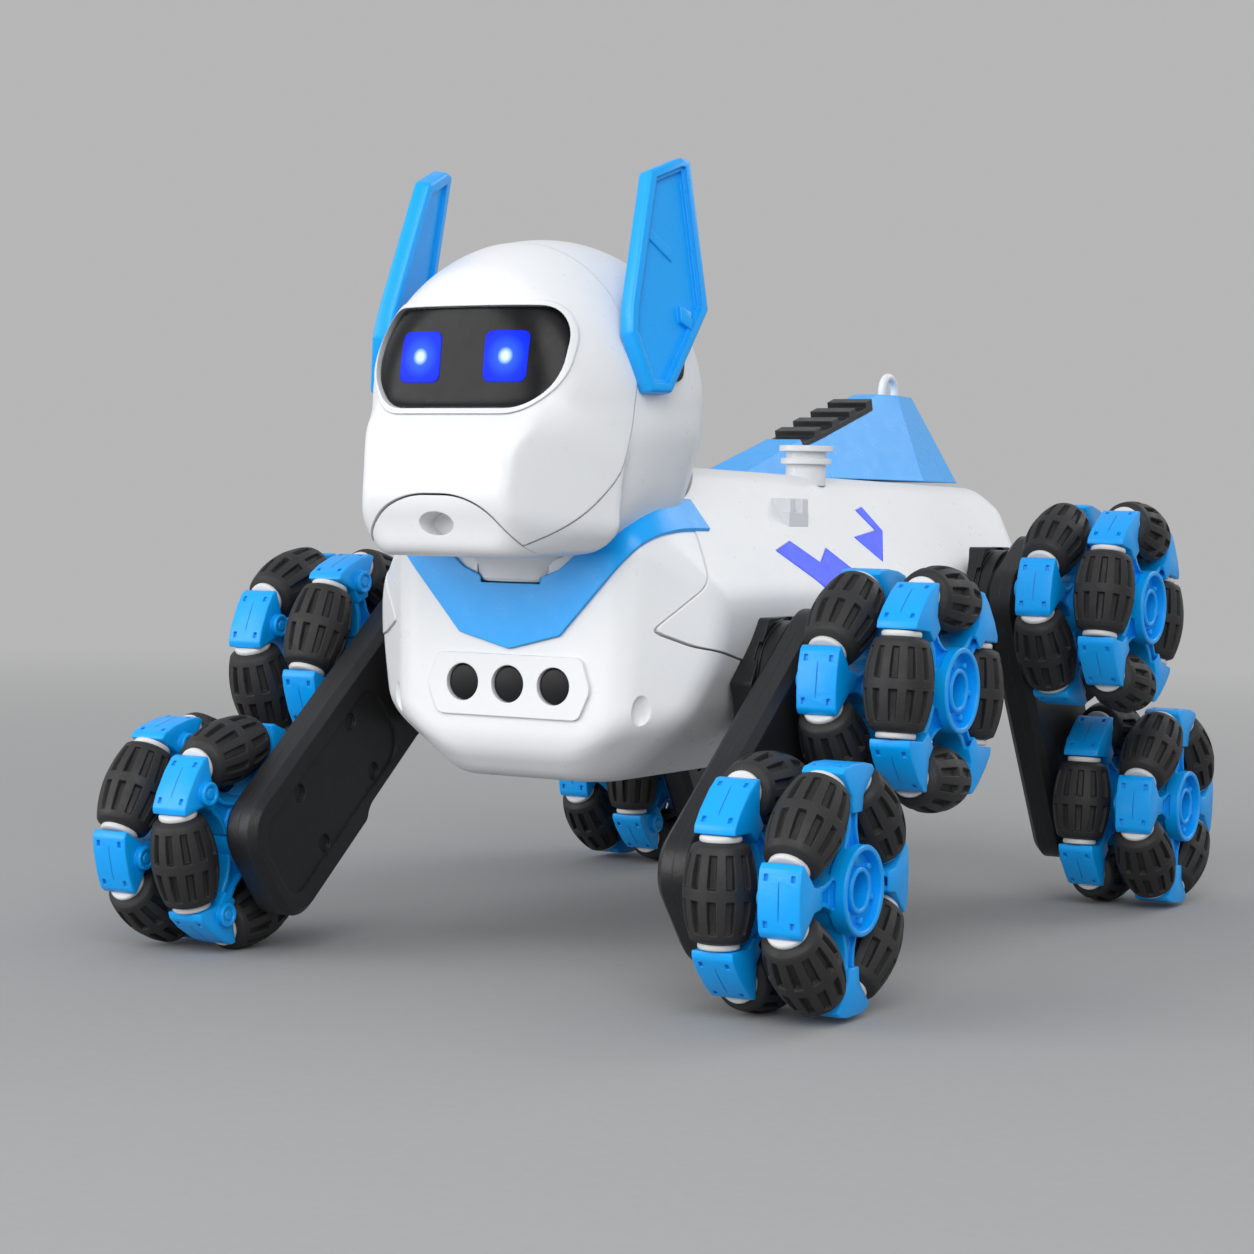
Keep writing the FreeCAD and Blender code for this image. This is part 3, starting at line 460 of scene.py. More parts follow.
def roller_mesh():
    """Rubber barrel with two rows of sunk pockets between its ribs, about the Z axis."""
    end = ROLLER_HALF - 1.0
    depth, wall = 1.5, 0.28
    rows = [(-9.6, -1.35), (1.35, 9.6)]
    stations = [(-ROLLER_HALF, 5.3), (-ROLLER_HALF + 0.25, 5.75), (-end - 0.35, 6.75)]
    levels = {-end, 0.0, end, -10.3, 10.3}
    for low, high in rows:
        levels |= {low, low + wall, high - wall, high, (low + high) / 2, low + 2.2, high - 2.2}

    def reach(t):
        return sqrt(WHEEL_RADIUS ** 2 - t * t) - ROLLER_AXIS

    body = [(t, reach(t)) for t in sorted(levels)]
    stations = stations + body + [(-t, r) for t, r in reversed(stations)]
    pitch = 2 * pi / RIBS
    rib = 0.25 * pitch
    turn = wall / 7.5
    angles = []
    for k in range(RIBS):
        start = k * pitch
        angles += [(start - rib, 0), (start, 0), (start + rib, 0), (start + rib + turn, 1),
                   (start + pitch / 2, 1), (start + pitch - rib - turn, 1)]
    bm = bmesh.new()
    rings = []
    for t, radius in stations:
        sunk = any(low < t < high for low, high in rows)
        taper = min(1.0, 0.55 + 0.45 * min(abs(abs(t) - 9.6), 3.0) / 3.0)
        ring = []
        for angle, pocket in angles:
            r = radius - (depth * taper if sunk and pocket else 0.0)
            ring.append(bm.verts.new((r * cos(angle), r * sin(angle), t)))
        rings.append(ring)
    bore = 1.75
    for end in (ROLLER_HALF, -ROLLER_HALF):
        rings.append([bm.verts.new((bore * cos(angle), bore * sin(angle), end)) for angle, _ in angles])
    count = len(angles)
    for first, second in zip(rings, rings[1:] + rings[:1]):
        for i in range(count):
            j = (i + 1) % count
            bm.faces.new((first[i], first[j], second[j], second[i]))
    mesh = mesh_of(bm, "roller")
    soften(mesh, 38)
    return mesh


def washer_mesh():
    """White end washer with a rounded rim, seated on the end of the barrel."""
    base = ROLLER_HALF
    profile = [(base, 1.75), (base, 4.7), (base + 0.15, 5.05), (base + 0.45, 5.2), (base + 1.1, 5.2),
               (base + 1.45, 5.0), (base + 1.6, 4.6), (base + 1.6, 1.75)]
    bm = lathe(profile, 36, "Z")
    mesh = mesh_of(bm, "washer")
    soften(mesh, 40)
    return mesh


def spoke_outline(near, far, widths):
    """Spoke that flares at the hub and at the fork: (distance, half width) pairs, mirrored."""
    side = [(near + (far - near) * u, w) for u, w in widths]
    return [(r, -w) for r, w in side] + [(r, w) for r, w in reversed(side)]


def hub_mesh():
    """Hub with a dished face, ribbed spokes and fork blocks for both rows."""
    core = lathe([(-HUB_HALF, 2.5), (-HUB_HALF, 8.2), (-HUB_HALF + 0.5, 8.7), (-HUB_HALF + 3, 9.4),
                  (-4, 10.6), (HUB_HALF - 5.5, 10.6), (HUB_HALF - 4.6, 11.3), (HUB_HALF - 0.4, 11.3),
                  (HUB_HALF, 11.0), (HUB_HALF, 10.1), (HUB_HALF - 0.3, 9.8), (HUB_HALF - 3.0, 9.6),
                  (HUB_HALF - 3.0, 6.0), (HUB_HALF - 1.3, 5.8), (HUB_HALF - 1.0, 5.5), (HUB_HALF - 1.0, 4.8),
                  (HUB_HALF - 1.3, 4.5), (HUB_HALF - 14.4, 4.5), (HUB_HALF - 14.4, 2.5)], 64)
    parts = []
    cutters = []
    # lie flat in the wheel's plane: a is along the spoke, b along the rim, c along the axle
    flat = Matrix(((0, 0, 1, 0), (1, 0, 0, 0), (0, 1, 0, 0), (0, 0, 0, 1)))
    for row_x, offset in ROWS:
        for k in range(4):
            turn = Matrix.Rotation(offset + k * pi / 2, 4, "X")
            move = Matrix.Translation((row_x, 0, 0)) @ turn @ flat
            apex = FORK_FACE * sqrt(2)
            flank = apex + 9.1
            block = [(apex - 1.0, -2.6), (apex + 3.0, -3.1), (flank, -9.15), (30.3, -7.6), (31.0, -3.2),
                     (31.0, 3.2), (30.3, 7.6), (flank, 9.15), (apex + 3.0, 3.1), (apex - 1.0, 2.6)]
            parts.append(prism(block, -5.7, 5.7, 0.45, 2, move))
            web = spoke_outline(9.0, apex + 4, [(0, 5.2), (0.18, 3.6), (0.4, 2.6), (0.7, 2.5), (1, 2.6)])
            parts.append(prism(web, -4.4, 4.4, 0.3, 1, move))
            # channel between the spoke's two ribs, on both faces
            for face in (-1, 1):
                channel = spoke_outline(10.2, apex + 3.4,
                                        [(0, 3.6), (0.18, 2.2), (0.4, 1.3), (0.7, 1.2), (1, 1.3)])
                low, high = (3.0, 5.2) if face > 0 else (-5.2, -3.0)
                cutters.append(prism(channel, low, high, 0.25, 1, move))
            # screw boss on the side of the block that faces the dog
            boss = lathe([(-7.6, 0), (-7.6, 1.3), (-7.1, 1.5), (-7.1, 2.0), (-7.6, 2.3), (-7.6, 3.0),
                          (-7.3, 3.3), (-4.0, 3.3), (-4.0, 0)], 24)
            spot = Matrix.Translation((row_x, 0, 0)) @ turn @ Matrix.Translation((0, 24.6, 0))
            bmesh.ops.transform(boss, matrix=spot, verts=boss.verts)
            parts.append(boss)
            # small notches near the corners of the outer face
            for a in (-1, 1):
                for b in (-1, 1):
                    square = [(29.9, a * 5.6 - 0.8), (32, a * 5.6 - 0.8),
                              (32, a * 5.6 + 0.8), (29.9, a * 5.6 + 0.8)]
                    cutters.append(prism(square, b * 3.6 - 0.55, b * 3.6 + 0.55, 0, 1, move))
            seam = prism([(30.7, -10), (32, -10), (32, 10), (30.7, 10)], -0.12, 0.12, 0, 1, move)
            cutters.append(seam)
    # ribs and small bosses in the dish of the outer face
    for k in range(6):
        turn = Matrix.Rotation(k * pi / 3 + 0.3, 4, "X")
        nub = lathe([(HUB_HALF - 4, 0), (HUB_HALF - 4, 0.9), (HUB_HALF - 1.8, 0.9),
                     (HUB_HALF - 1.5, 0.6), (HUB_HALF - 1.5, 0)], 12)
        bmesh.ops.transform(nub, matrix=turn @ Matrix.Translation((0, 7.9, 0)), verts=nub.verts)
        parts.append(nub)
    mesh = shaped("hub", core, *[("UNION", part) for part in parts],
                  *[("DIFFERENCE", cutter) for cutter in cutters])
    soften(mesh, 30)
    return mesh


def pin_mesh():
    """Steel pin of one roller, long enough to reach into both forks."""
    half = FORK_FACE + 2.6
    bm = lathe([(-half, 0), (-half, 1.4), (-half + 0.3, 1.7), (half - 0.3, 1.7), (half, 1.4), (half, 0)],
               20, "Z")
    mesh = mesh_of(bm, "pin")
    soften(mesh, 40)
    return mesh


def joined(name, items, materials):
    """One mesh from (mesh, matrix, material number) triples."""
    bm = bmesh.new()
    for mesh, matrix, slot_number in items:
        start = len(bm.verts)
        first_face = len(bm.faces)
        bm.from_mesh(mesh)
        bm.verts.ensure_lookup_table()
        bm.faces.ensure_lookup_table()
        bmesh.ops.transform(bm, matrix=matrix, verts=bm.verts[start:])
        for face in bm.faces[first_face:]:
            face.material_index = slot_number
            if matrix.determinant() < 0:
                face.normal_flip()
    result = bpy.data.meshes.new(name)
    bm.to_mesh(result)
    bm.free()
    for material in materials:
        result.materials.append(material)
    return result


def wheel_matrix(centre, side, turn):
    """From wheel millimetres to the row frame; a right wheel is the mirror image of a left one."""
    forward_up = Matrix(((side, 0, 0, 0), (0, -1, 0, 0), (0, 0, 1, 0), (0, 0, 0, 1)))
    return Matrix.Translation(centre) @ forward_up @ Matrix.Rotation(turn, 4, "X") @ Matrix.Scale(MM, 4)


def roller_matrices():
    """Place of each of a wheel's eight rollers, in wheel millimetres, drawn about Z."""
    found = []
    for row_x, offset in ROWS:
        for k in range(4):
            turn = Matrix.Rotation(offset + k * pi / 2 + pi / 4, 4, "X")
            found.append(Matrix.Translation((row_x, 0, 0)) @ turn @ Matrix.Translation((0, ROLLER_AXIS, 0)))
    return found


WHEEL_TURNS = {"front_left_lower": 0.0, "front_left_upper": pi / 4 + 0.096,
               "rear_left_upper": pi / 4 + 0.209, "rear_left_lower": 0.086,
               "front_right_lower": -0.244, "front_right_upper": 0.415,
               "rear_right_lower": 0.0, "rear_right_upper": 0.3}


def wheel_piece(name, items, finishes, body, node):
    piece = link(name, joined(name, items, finishes))
    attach(piece, body)
    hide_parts(node)


def make_wheels(materials):
    hub, roller, washer, pin = hub_mesh(), roller_mesh(), washer_mesh(), pin_mesh()
    opposite = Matrix.Rotation(pi, 4, "X")
    metal_and_blue = [materials["hub"], materials["steel"]]
    rubber_and_white = [materials["rubber"], materials["washer"]]
    for wheel, turn in WHEEL_TURNS.items():
        side = 1 if "left" in wheel else -1
        body = wheel + "_wheel"
        base = wheel_matrix(joint_point(wheel + "_spin"), side, turn)
        spots = [base @ spot for spot in roller_matrices()]
        wheel_piece(wheel + "_hub_detail", [(hub, base, 0)] + [(pin, spot, 1) for spot in spots],
                    metal_and_blue, body, wheel + "_hub")
        rollers = [[(roller, spot, 0), (washer, spot, 1), (washer, spot @ opposite, 1)] for spot in spots]
        if wheel == "front_left_lower":
            for number, items in enumerate(rollers, 1):
                name = wheel + "_roller_" + str(number)
                wheel_piece(name + "_detail", items, rubber_and_white, name, name)
        else:
            wheel_piece(wheel + "_rollers_detail", sum(rollers, []), rubber_and_white, body,
                        wheel + "_rollers")


# ---- head ----------------------------------------------------------------------------------------
SIDES = (-1, 1)


def to_row(mesh):
    """From millimetres about the axles' middle to metres in the row frame."""
    mesh.transform(Matrix.Translation((0, MID_Y, 0)) @ Matrix.Scale(MM, 4))
    return mesh


def fitted(name, bm, body, node_names, material, crease=32):
    """Finished piece in its place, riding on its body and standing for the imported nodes."""
    mesh = to_row(bm if isinstance(bm, bpy.types.Mesh) else mesh_of(bm, name))
    soften(mesh, crease)
    mesh.materials.clear()
    piece = link(name, mesh, material)
    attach(piece, body)
    if node_names:
        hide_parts(*node_names)
    return piece


FRONT_VIEW = Matrix(((1, 0, 0, 0), (0, 0, 1, 0), (0, 1, 0, 0), (0, 0, 0, 1)))
SIDE_VIEW = Matrix(((0, 0, 1, 0), (1, 0, 0, 0), (0, 1, 0, 0), (0, 0, 0, 1)))


def front_prism(outline, y0, y1):
    """Prism whose outline is drawn in x and z and swept along y."""
    return prism(outline, y0, y1, frame_matrix=FRONT_VIEW)


def side_prism(outline, x0, x1):
    """Prism whose outline is drawn in y and z and swept along x."""
    return prism(outline, x0, x1, frame_matrix=SIDE_VIEW)


def rounded(points, radius, steps=6):
    """Outline with its corners turned into quadratic curves."""
    found = []
    for i, (x, y) in enumerate(points):
        (ax, ay), (bx, by) = points[i - 1], points[(i + 1) % len(points)]
        la, lb = hypot(ax - x, ay - y), hypot(bx - x, by - y)
        reach = min(radius, la * 0.49, lb * 0.49)
        start = (x + (ax - x) * reach / la, y + (ay - y) * reach / la)
        end = (x + (bx - x) * reach / lb, y + (by - y) * reach / lb)
        for k in range(steps + 1):
            t = k / steps
            found.append(tuple((1 - t) ** 2 * s + 2 * t * (1 - t) * c + t * t * e
                               for s, c, e in zip(start, (x, y), end)))
    return found


def head_form(inset):
    """Skull, blunt muzzle and jaw as one rounded form, drawn inwards by the inset."""
    muzzle_planes = [((0, -137.5, 150), (0, -0.7, 0.71)), ((0, -148.5, 138), (0, -1, 0.14)),
                     ((0, -150, 124.5), (0, -0.9, -0.44)), ((0, -140, 113.4), (0, -0.05, -1)),
                     ((0, -119, 122), (0, 1, 0)), ((0, -120, 152), (0, 0, 1))]
    jaw_planes = [((0, -100, 113.4), (0, 0.06, -1)), ((0, -100, 146), (0, 0, 1)),
                  ((0, -65, 130), (0, 0.85, -0.5)), ((0, -146, 120), (0, -1, 0))]
    for s in SIDES:
        muzzle_planes += [((s * 22.5, -148, 135), (s * 0.87, -0.49, 0.03)),
                          ((s * 20, -147, 117), (s * 0.6, -0.4, -0.7)),
                          ((s * 25, -140, 148), (s * 0.8, -0.3, 0.5))]
        jaw_planes += [((s * 38.5, -100, 130), (s, 0, -0.08)),
                       ((s * 33, -100, 118), (s * 0.72, 0, -0.69)),
                       ((s * 37, -119, 130), (s * 0.87, -0.49, 0)),
                       ((s * 33, -78, 130), (s * 0.72, 0.7, -0.1))]

    def form(x, y, z):
        ahead = (y + 96) / np.where(y < -96, 53, 42.5)
        rise = (z - 152) / np.where(z > 152, 44, 42)
        dome = (np.sqrt((x / 42.6) ** 2 + ahead ** 2 + rise ** 2) - 1) * 42
        front = ((-137.8 - y) * 1.0 + (z - 162) * 0.1) / 1.005
        skull = smooth_max([dome, front], 7)
        skull = smooth_min(skull, facets(x, y, z, jaw_planes, 6), 6)
        return smooth_min(skull, facets(x, y, z, muzzle_planes, 2.4), 4) + inset
    return form


def head_mesh(inset):
    return field_bm(head_form(inset), (-49, -156, 108), (49, -48, 200), 1.0)


def visor_outline(gap):
    half = [(21, 149.3 - gap), (28.6 + gap, 157), (28.8 + gap, 169), (24.5, 175.2 + gap)]
    return rounded(half + [(-x, z) for x, z in reversed(half)], 5.5)


def eye_outline(s):
    left, right = s * EYE_X - 6.3, s * EYE_X + 6.3
    return rounded([(left, 155.8), (right, 155.8), (right, 169), (left, 169)], 2.2)


def face_region(gap):
    """Everything in front of the seam that runs from the ears down the cheeks."""
    line = [(-116.0, 178), (-114.5, 160), (-117.5, 142), (-121, 132), (-128, 124), (-137, 117.5),
            (-150, 110), (-160, 106)]
    line = [(y - gap, z + gap * 0.6) for y, z in rounded(line, 4, 3)[4:-4]]
    return side_prism(line + [(-170, 106), (-170, 205), (-112 - gap, 205)], -60, 60)


def chin_region(gap):
    """Arched chin piece with the mouth hole, in front of and under the muzzle."""
    half = [(27 + gap, 104), (22.6 + gap, 115.5), (15.5 + gap, 123.6 + gap), (7, 127 + gap)]
    return front_prism(rounded(half + [(-x, z) for x, z in reversed(half)], 5), -170, -126)


NECK_Y = -95
MOUTH_Z = 119.6
SEAM = 0.25


def make_head(materials):
    lip = shaped("lip", head_mesh(-0.5), ("INTERSECT", front_prism(visor_outline(1.7), -170, -108)))
    pocket = shaped("pocket", front_prism(visor_outline(SEAM), -190, -104), ("DIFFERENCE", head_mesh(2.2)))
    face = shaped("face", head_mesh(0), ("UNION", copy_bm(lip)), ("INTERSECT", face_region(SEAM)),
                  ("DIFFERENCE", chin_region(SEAM)), ("DIFFERENCE", copy_bm(pocket)))
    fitted("face_shell", face, "head", ["head_face_shell"], materials["white"])

    mouth = disc_hole(0, 5.2, -170, -141, 0)
    flattened = Matrix.Translation((0, 0, MOUTH_Z)) @ Matrix.Diagonal((1, 1, 0.58, 1))
    bmesh.ops.transform(mouth, matrix=flattened, verts=mouth.verts)
    chin = shaped("chin", head_mesh(0.3), ("INTERSECT", chin_region(-SEAM)), ("DIFFERENCE", mouth))
    fitted("chin", chin, "head", ["head_rear_shell"], materials["white"])
    rear = shaped("rear", head_mesh(0.35), ("DIFFERENCE", face_region(-SEAM)),
                  ("DIFFERENCE", chin_region(-0.2)))
    fitted("rear_shell", rear, "head", ["head_rear_shell"], materials["white"])
    neck = lathe([(104.4, 0), (104.4, 18.2), (105.2, 19), (108.5, 19.4), (112, 21.5), (116, 25.5),
                  (120, 29), (122, 29), (122, 0)], 72, "Z")
    bmesh.ops.translate(neck, verts=neck.verts, vec=(0, NECK_Y, 0))
    fitted("neck", neck, "head", ["neck_post"], materials["white"])

    visor = shaped("visor", head_mesh(0.75), ("DIFFERENCE", head_mesh(2.1)),
                   ("INTERSECT", front_prism(visor_outline(-0.1), -190, -104)))
    fitted("visor_screen", visor, "head", ["visor"], materials["visor"])
    for s, side in ((1, "left"), (-1, "right")):
        eye = shaped("eye", head_mesh(0.62), ("DIFFERENCE", head_mesh(1.6)),
                     ("INTERSECT", front_prism(eye_outline(s), -190, -120)))
        fitted("eye_" + side, eye, "head", ["eye_lights"], materials["eye"])


# ---- ears ----------------------------------------------------------------------------------------
def offset_outline(points, inset):
    """Convex outline moved inwards by the inset."""
    turn = sum(ax * by - bx * ay for (ax, ay), (bx, by) in zip(points, points[1:] + points[:1]))
    way = 1 if turn > 0 else -1
    lines = []
    for (ax, ay), (bx, by) in zip(points, points[1:] + points[:1]):
        length = hypot(bx - ax, by - ay)
        nx, ny = -(by - ay) / length * way, (bx - ax) / length * way
        lines.append((nx, ny, nx * ax + ny * ay + inset))
    found = []
    for (a, b, c), (d, e, f) in zip(lines[-1:] + lines[:-1], lines):
        det = a * e - b * d
        found.append(((c * e - b * f) / det, (a * f - c * d) / det))
    return found


EAR_FOOT = (46.2, -103, 156)
EAR_YAW = 14
EAR_LEAN = 9
EAR_OUTLINE = [(7, 61.2), (10.8, 60.6), (12.2, 20.8), (-4.9, -1.9), (-12.8, -1.9), (-18.1, 13.4),
               (-16.8, 20.7), (-5.1, 56.6)]


def on_side(mesh, s):
    """The left side's mesh as it is, or mirrored for the right."""
    mesh.transform(Matrix.Diagonal((s, 1, 1, 1)))
    if s < 0:
        mesh.flip_normals()
    return mesh


def make_ears(materials):
    """Two blades, each with a chamfered rim round a sunk panel, and a dark mount behind."""
    for s, side in ((1, "left"), (-1, "right")):
        yaw, lean = radians(EAR_YAW), radians(EAR_LEAN)
        back = Vector((sin(yaw), cos(yaw), 0))
        out = Vector((cos(yaw), -sin(yaw), 0))
        up = Vector((0, 0, cos(lean))) - out * sin(lean)
        normal = back.cross(up)
        move = Matrix((back, up, normal)).transposed().to_4x4()
        move.translation = Vector(EAR_FOOT)
        blade = prism(EAR_OUTLINE, -4.2, 0.6, 0.9, 3, move)
        panel = prism(offset_outline(EAR_OUTLINE, 3.4), -1.2, 4, 0, 1, move)
        slope = prism(offset_outline(EAR_OUTLINE, 2.4), -0.2, 4, 0, 1, move)
        rear_panel = prism(offset_outline(EAR_OUTLINE, 3.2), -8, -3.2, 0, 1, move)
        bar = prism([(-9, 40), (1, 33), (1, 36.5), (-9, 43.5)], -2, -0.7, 0.2, 1, move)
        stud = prism([(1.5, 17), (5.5, 15), (5.5, 20), (1.5, 21.5)], -2, 0.2, 0.3, 2, move)
        mesh = shaped("ear", blade, ("DIFFERENCE", panel), ("DIFFERENCE", slope), ("DIFFERENCE", rear_panel),
                      ("UNION", bar), ("UNION", stud))
        fitted("ear_blade_" + side, on_side(mesh, s), "head", ["ear_" + side],
               materials["blue"], 28)
        mount = prism(rounded([(-13, 2), (4, 2), (7, 15), (-13, 20)], 3), -11, -3.4, 0.4, 2, move)
        fitted("ear_mount_" + side, on_side(mesh_of(mount, "mount"), s), "head", ["ear_mounts"],
               materials["black"], 28)


# ---- body ----------------------------------------------------------------------------------------
def body_form(inset):
    """The trunk with its faceted chest and rump, drawn inwards by the inset."""
    planes = [((0, -112.4, 75), (0, -1, 0.03)), ((0, -111, 58), (0, -0.72, -0.7)), ((0, 0, 51), (0, 0, -1)),
              ((0, 0, 135.2), (0, 0.015, 1)), ((0, 146.5, 100), (0, 1, 0.08)), ((0, 136, 131), (0, 0.72, 0.69)),
              ((0, 140, 66), (0, 0.74, -0.67)), ((0, -100, 126), (0, -0.62, 0.78))]
    for s in SIDES:
        planes += [((s * 54.6, 0, 100), (s, 0, 0.02)), ((s * 27.5, 0, 135.5), (s * 0.78, 0, 0.63)),
                   ((s * 50, 0, 76), (s * 0.93, 0, -0.36)), ((s * 40, 0, 62), (s * 0.62, 0, -0.78)),
                   ((s * 36, -110.5, 80), (s * 0.66, -0.75, 0)), ((s * 47, 128, 100), (s * 0.74, 0.67, 0)),
                   ((s * 44, -98, 116), (s * 0.7, -0.35, 0.62)), ((s * 30, -106, 60), (s * 0.5, -0.5, -0.7))]

    def form(x, y, z):
        return facets(x, y, z, planes, 3.4) + inset
    return form


def body_mesh(inset):
    return field_bm(body_form(inset), (-58, -117, 47), (58, 151, 140), 1.4)


def bowl():
    """Hollow on top of the chest that the head turns in."""
    def form(x, y, z):
        return ellipsoid(x, y, z, (0, -97, 153), (44.8, 49, 46.5))
    return field_bm(form, (-52, -155, 98), (52, -40, 206), 1.2)


def upper_region(gap):
    """Everything behind and above the seam between the chest shell and the back shell."""
    line = [(-52, 150), (-80, 131), (-86.5, 117), (-106.5, 92.5), (-99, 88.5), (-73.5, 83.2), (-70, 73),
            (-60, 68), (60, 68), (150, 84), (175, 84), (175, 150)]
    return side_prism(rounded([(y + gap, z + gap * 0.6) for y, z in line], 2.0, 3), -70, 70)


def collar_outline():
    half = [(0, 86.6), (15.6, 90.6), (41, 118.5), (46, 129), (41, 133), (33, 125), (24, 115.5), (15, 108),
            (7, 104.8), (0, 104)]
    return half + [(-x, z) for x, z in reversed(half[1:-1])]


LIGHTS = [[(-46.7, 113.4), (-34, 116), (-24, 110), (-14, 114), (-6, 108), (-27, 100.5)],
          [(10, 117), (28, 119), (24, 125), (30, 126), (33, 119), (18, 110)]]


WINDOW_X = (-14.2, 0, 14.2)
WINDOW_Z = 77.2


def facing_front(profile, x, z):
    """Turned bmesh whose (y, radius) profile runs along y, at the given x and z."""
    bm = lathe(profile, 40)
    bmesh.ops.transform(bm, matrix=Matrix.Translation((x, 0, z)) @ Matrix.Rotation(pi / 2, 4, "Z"),
                        verts=bm.verts)
    return bm


def disc_hole(x, radius, y0, y1, z=WINDOW_Z):
    return facing_front([(y0, 0), (y0, radius), (y1, radius), (y1, 0)], x, z)


def make_body(materials):
    neck_room = lathe([(104, 0), (104, 19.5), (135, 19.5), (135, 0)], 72, "Z")
    bmesh.ops.translate(neck_room, verts=neck_room.verts, vec=(0, NECK_Y, 0))
    room = mesh_of(neck_room, "neck_room")
    collar_cut = shaped("collar_cut", front_prism(collar_outline(), -130, -78),
                        ("DIFFERENCE", body_mesh(1.4)))
    bezel_outline = [(-22.5, 85), (22.5, 85), (25.5, 76.5), (22, 68.5), (-22, 68.5), (-25.5, 76.5)]
    bezel = shaped("bezel", body_mesh(-0.55),
                   ("INTERSECT", front_prism(rounded(bezel_outline, 2), -125, -105)))
    dimples = []
    for s in SIDES:
        def form(x, y, z):
            return ellipsoid(x, y, z, (s * 39.5, -108.8, 71), (3.4, 2.6, 5.4))
        dimples.append(("DIFFERENCE", field_bm(form, (s * 39.5 - 5, -114, 64), (s * 39.5 + 5, -104, 78), 0.5)))
    windows = [("DIFFERENCE", disc_hole(x, 5.0, -120, -110.6)) for x in WINDOW_X]
    lower = shaped("lower", body_mesh(0.3), ("DIFFERENCE", upper_region(-0.3)), ("UNION", copy_bm(bezel)),
                   ("DIFFERENCE", bowl()), ("DIFFERENCE", copy_bm(collar_cut)), *windows, *dimples,
                   ("DIFFERENCE", copy_bm(room)))
    fitted("chest_shell", lower, "body", ["body_lower_shell"], materials["white"])

    lights = []
    for outline in LIGHTS:
        for s in SIDES:
            shape = side_prism(outline, min(s * 30, s * 70), max(s * 30, s * 70))
            lights.append(copy_bm(shaped("light", shape, ("INTERSECT", body_mesh(-0.12)),
                                         ("DIFFERENCE", body_mesh(0.9)))))
    cuts = [("DIFFERENCE", light.copy()) for light in lights]
    upper = shaped("upper", body_mesh(0), ("INTERSECT", upper_region(0.3)), ("DIFFERENCE", bowl()),
                   ("DIFFERENCE", front_prism(collar_outline(), -130, -78)), *cuts)
    fitted("back_shell", upper, "body", ["body_upper_shell"], materials["white"])
    glow = bmesh.new()
    for light in lights:
        glow.from_mesh(mesh_of(light, "light"))
    fitted("flank_lights", glow, "body", ["side_lights"], materials["lens"])

    collar = shaped("collar", front_prism(collar_outline(), -130, -78), ("INTERSECT", body_mesh(-0.7)),
                    ("DIFFERENCE", body_mesh(1.6)), ("DIFFERENCE", bowl()), ("DIFFERENCE", copy_bm(room)))
    fitted("collar", collar, "body", ["chest_collar"], materials["blue"])
    lenses = bmesh.new()
    profile = [(-112.3, 0), (-112.25, 3.2), (-112.05, 4.4), (-111.6, 4.85), (-110.4, 4.85), (-110.4, 0)]
    for x in WINDOW_X:
        lens = facing_front(profile, x, WINDOW_Z)
        lenses.from_mesh(mesh_of(lens, "lens"))
    fitted("windows", lenses, "body", ["chest_windows"], materials["window"])


# ---- camera, light, floor -------------------------------------------------------------------
def make_camera():
    """Viewpoint ahead of the dog and to its left, a little above the ground."""
    data = bpy.data.cameras.new("camera")
    camera = bpy.data.objects.new("camera", data)
    bpy.context.scene.collection.objects.link(camera)
    azimuth, down, roll = radians(29.94), radians(2.478), radians(1.085)
    back = Vector((sin(azimuth) * cos(down), -cos(azimuth) * cos(down), sin(down)))
    right = (-back).cross(Vector((0, 0, 1))).normalized()
    up = right.cross(-back)
    tilted_right = cos(roll) * right + sin(roll) * up
    tilted_up = -sin(roll) * right + cos(roll) * up
    turn = Matrix((tilted_right, tilted_up, back)).transposed().to_4x4()
    camera.matrix_world = Matrix.Translation(place(392.05, -730.52, 124.57)) @ turn
    data.sensor_width = 36
    data.lens = 79.28
    data.clip_start = 0.01
    bpy.context.scene.camera = camera


def area_light(name, location, target, size, energy):
    data = bpy.data.lights.new(name, "AREA")
    data.shape = "DISK"
    data.size = size
    data.energy = energy
    light = bpy.data.objects.new(name, data)
    light.location = location
    light.rotation_euler = (Vector(target) - Vector(location)).to_track_quat("-Z", "Y").to_euler()
    bpy.context.scene.collection.objects.link(light)


BACKDROP = (0.47, 0.47, 0.47, 1)


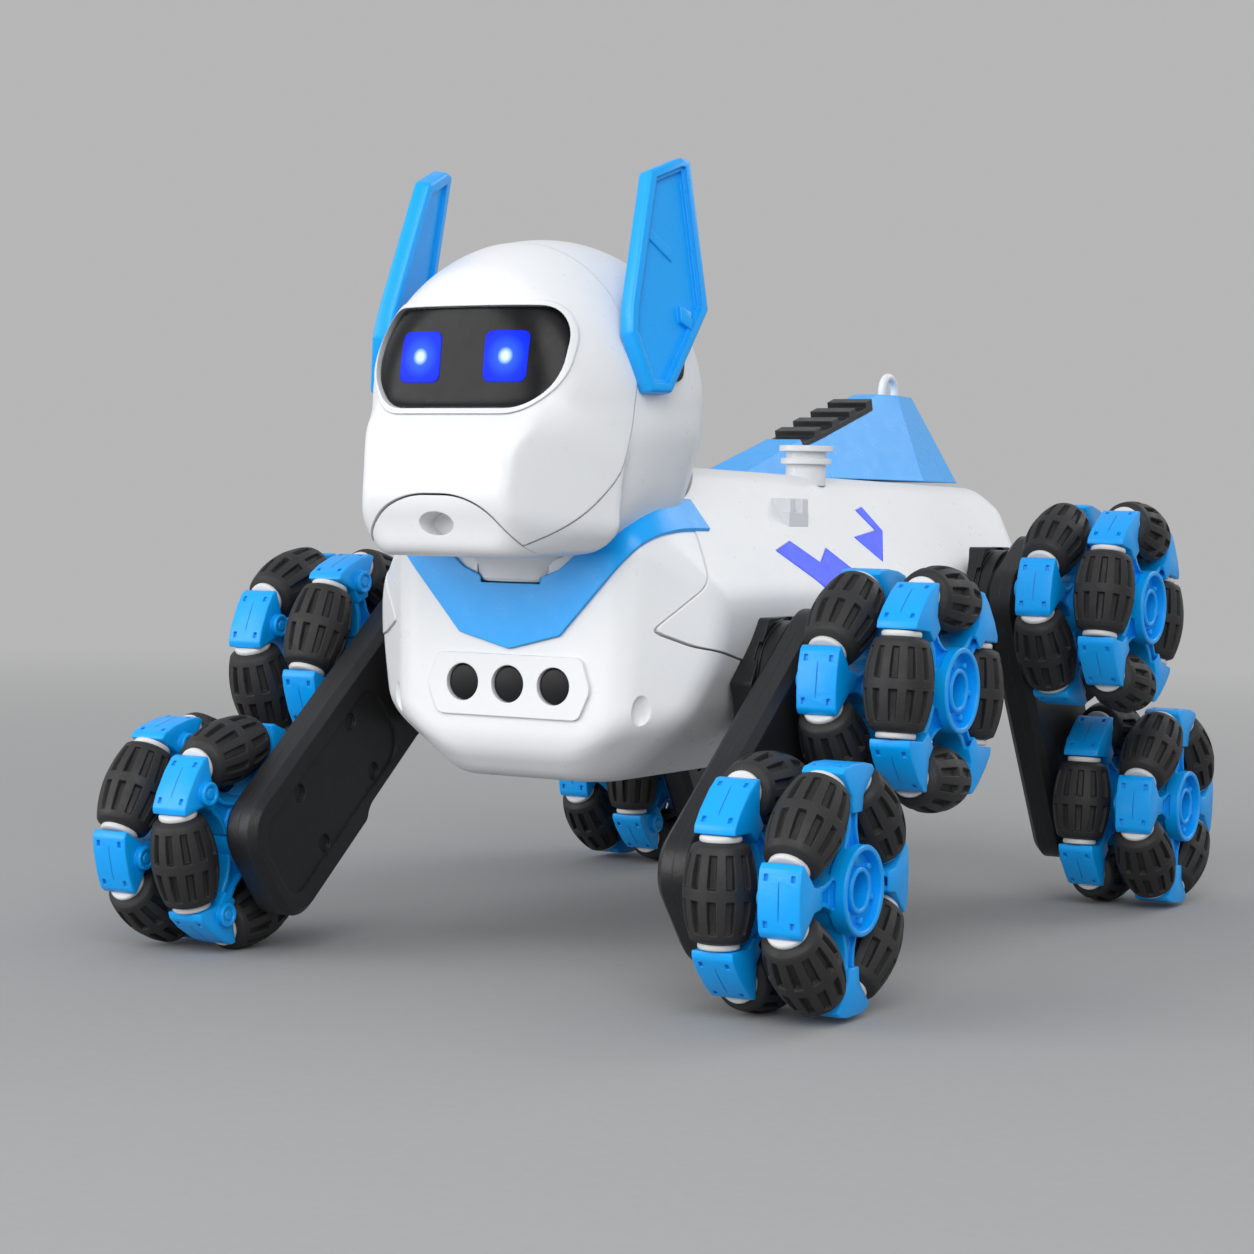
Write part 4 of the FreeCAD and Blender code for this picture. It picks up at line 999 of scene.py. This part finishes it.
def make_world():
    """Soft even light, with the backdrop's own grey where the camera looks straight at it."""
    world = bpy.data.worlds.new("studio")
    bpy.context.scene.world = world
    world.use_nodes = True
    tree = world.node_tree
    light = tree.nodes["Background"]
    light.inputs["Color"].default_value = (0.95, 0.97, 1.0, 1)
    light.inputs["Strength"].default_value = 0.62
    backdrop = tree.nodes.new("ShaderNodeBackground")
    backdrop.inputs["Color"].default_value = BACKDROP
    path = tree.nodes.new("ShaderNodeLightPath")
    mix = tree.nodes.new("ShaderNodeMixShader")
    tree.links.new(path.outputs["Is Camera Ray"], mix.inputs[0])
    tree.links.new(light.outputs[0], mix.inputs[1])
    tree.links.new(backdrop.outputs[0], mix.inputs[2])
    tree.links.new(mix.outputs[0], tree.nodes["World Output"].inputs["Surface"])


def make_floor():
    """Grey sweep that takes the shadows near the dog and melts into the backdrop further out."""
    mesh = bpy.data.meshes.new("floor")
    mesh.from_pydata([(-4, -4, 0), (4, -4, 0), (4, 4, 0), (-4, 4, 0)], [], [(0, 1, 2, 3)])
    floor = bpy.data.objects.new("floor", mesh)
    bpy.context.scene.collection.objects.link(floor)
    material, tree, shader = nodes_of("floor_grey")
    coordinates = tree.nodes.new("ShaderNodeTexCoord")
    speckle = noise(tree, coordinates, 300, 3)
    tree.links.new(mixed(tree, speckle, (0.33, 0.33, 0.33), (0.35, 0.35, 0.35)), shader.inputs["Base Color"])
    shader.inputs["Roughness"].default_value = 0.95
    distance = tree.nodes.new("ShaderNodeVectorMath")
    distance.operation = "LENGTH"
    tree.links.new(coordinates.outputs["Object"], distance.inputs[0])
    path = tree.nodes.new("ShaderNodeLightPath")
    far = times(tree, ranged(tree, distance.outputs["Value"], 0, 1, 0.3, 1.5), path.outputs["Is Camera Ray"])
    glow = tree.nodes.new("ShaderNodeEmission")
    glow.inputs["Color"].default_value = BACKDROP
    mix = tree.nodes.new("ShaderNodeMixShader")
    tree.links.new(far, mix.inputs[0])
    tree.links.new(shader.outputs[0], mix.inputs[1])
    tree.links.new(glow.outputs[0], mix.inputs[2])
    tree.links.new(mix.outputs[0], tree.nodes["Material Output"].inputs["Surface"])
    mesh.materials.append(material)


make_camera()
make_world()
area_light("key", (0.75, -1.3, 0.95), (0, -0.05, 0.09), 1.3, 15)
area_light("fill", (-1.0, -1.3, 0.45), (0, -0.05, 0.08), 1.5, 17)
area_light("rim", (0.6, 1.3, 1.0), (0, 0, 0.1), 1.0, 5)
make_floor()

materials = make_materials()
dress_frame(materials)
make_wheels(materials)
make_head(materials)
make_ears(materials)
make_body(materials)

bpy.context.scene.view_settings.view_transform = "Standard"
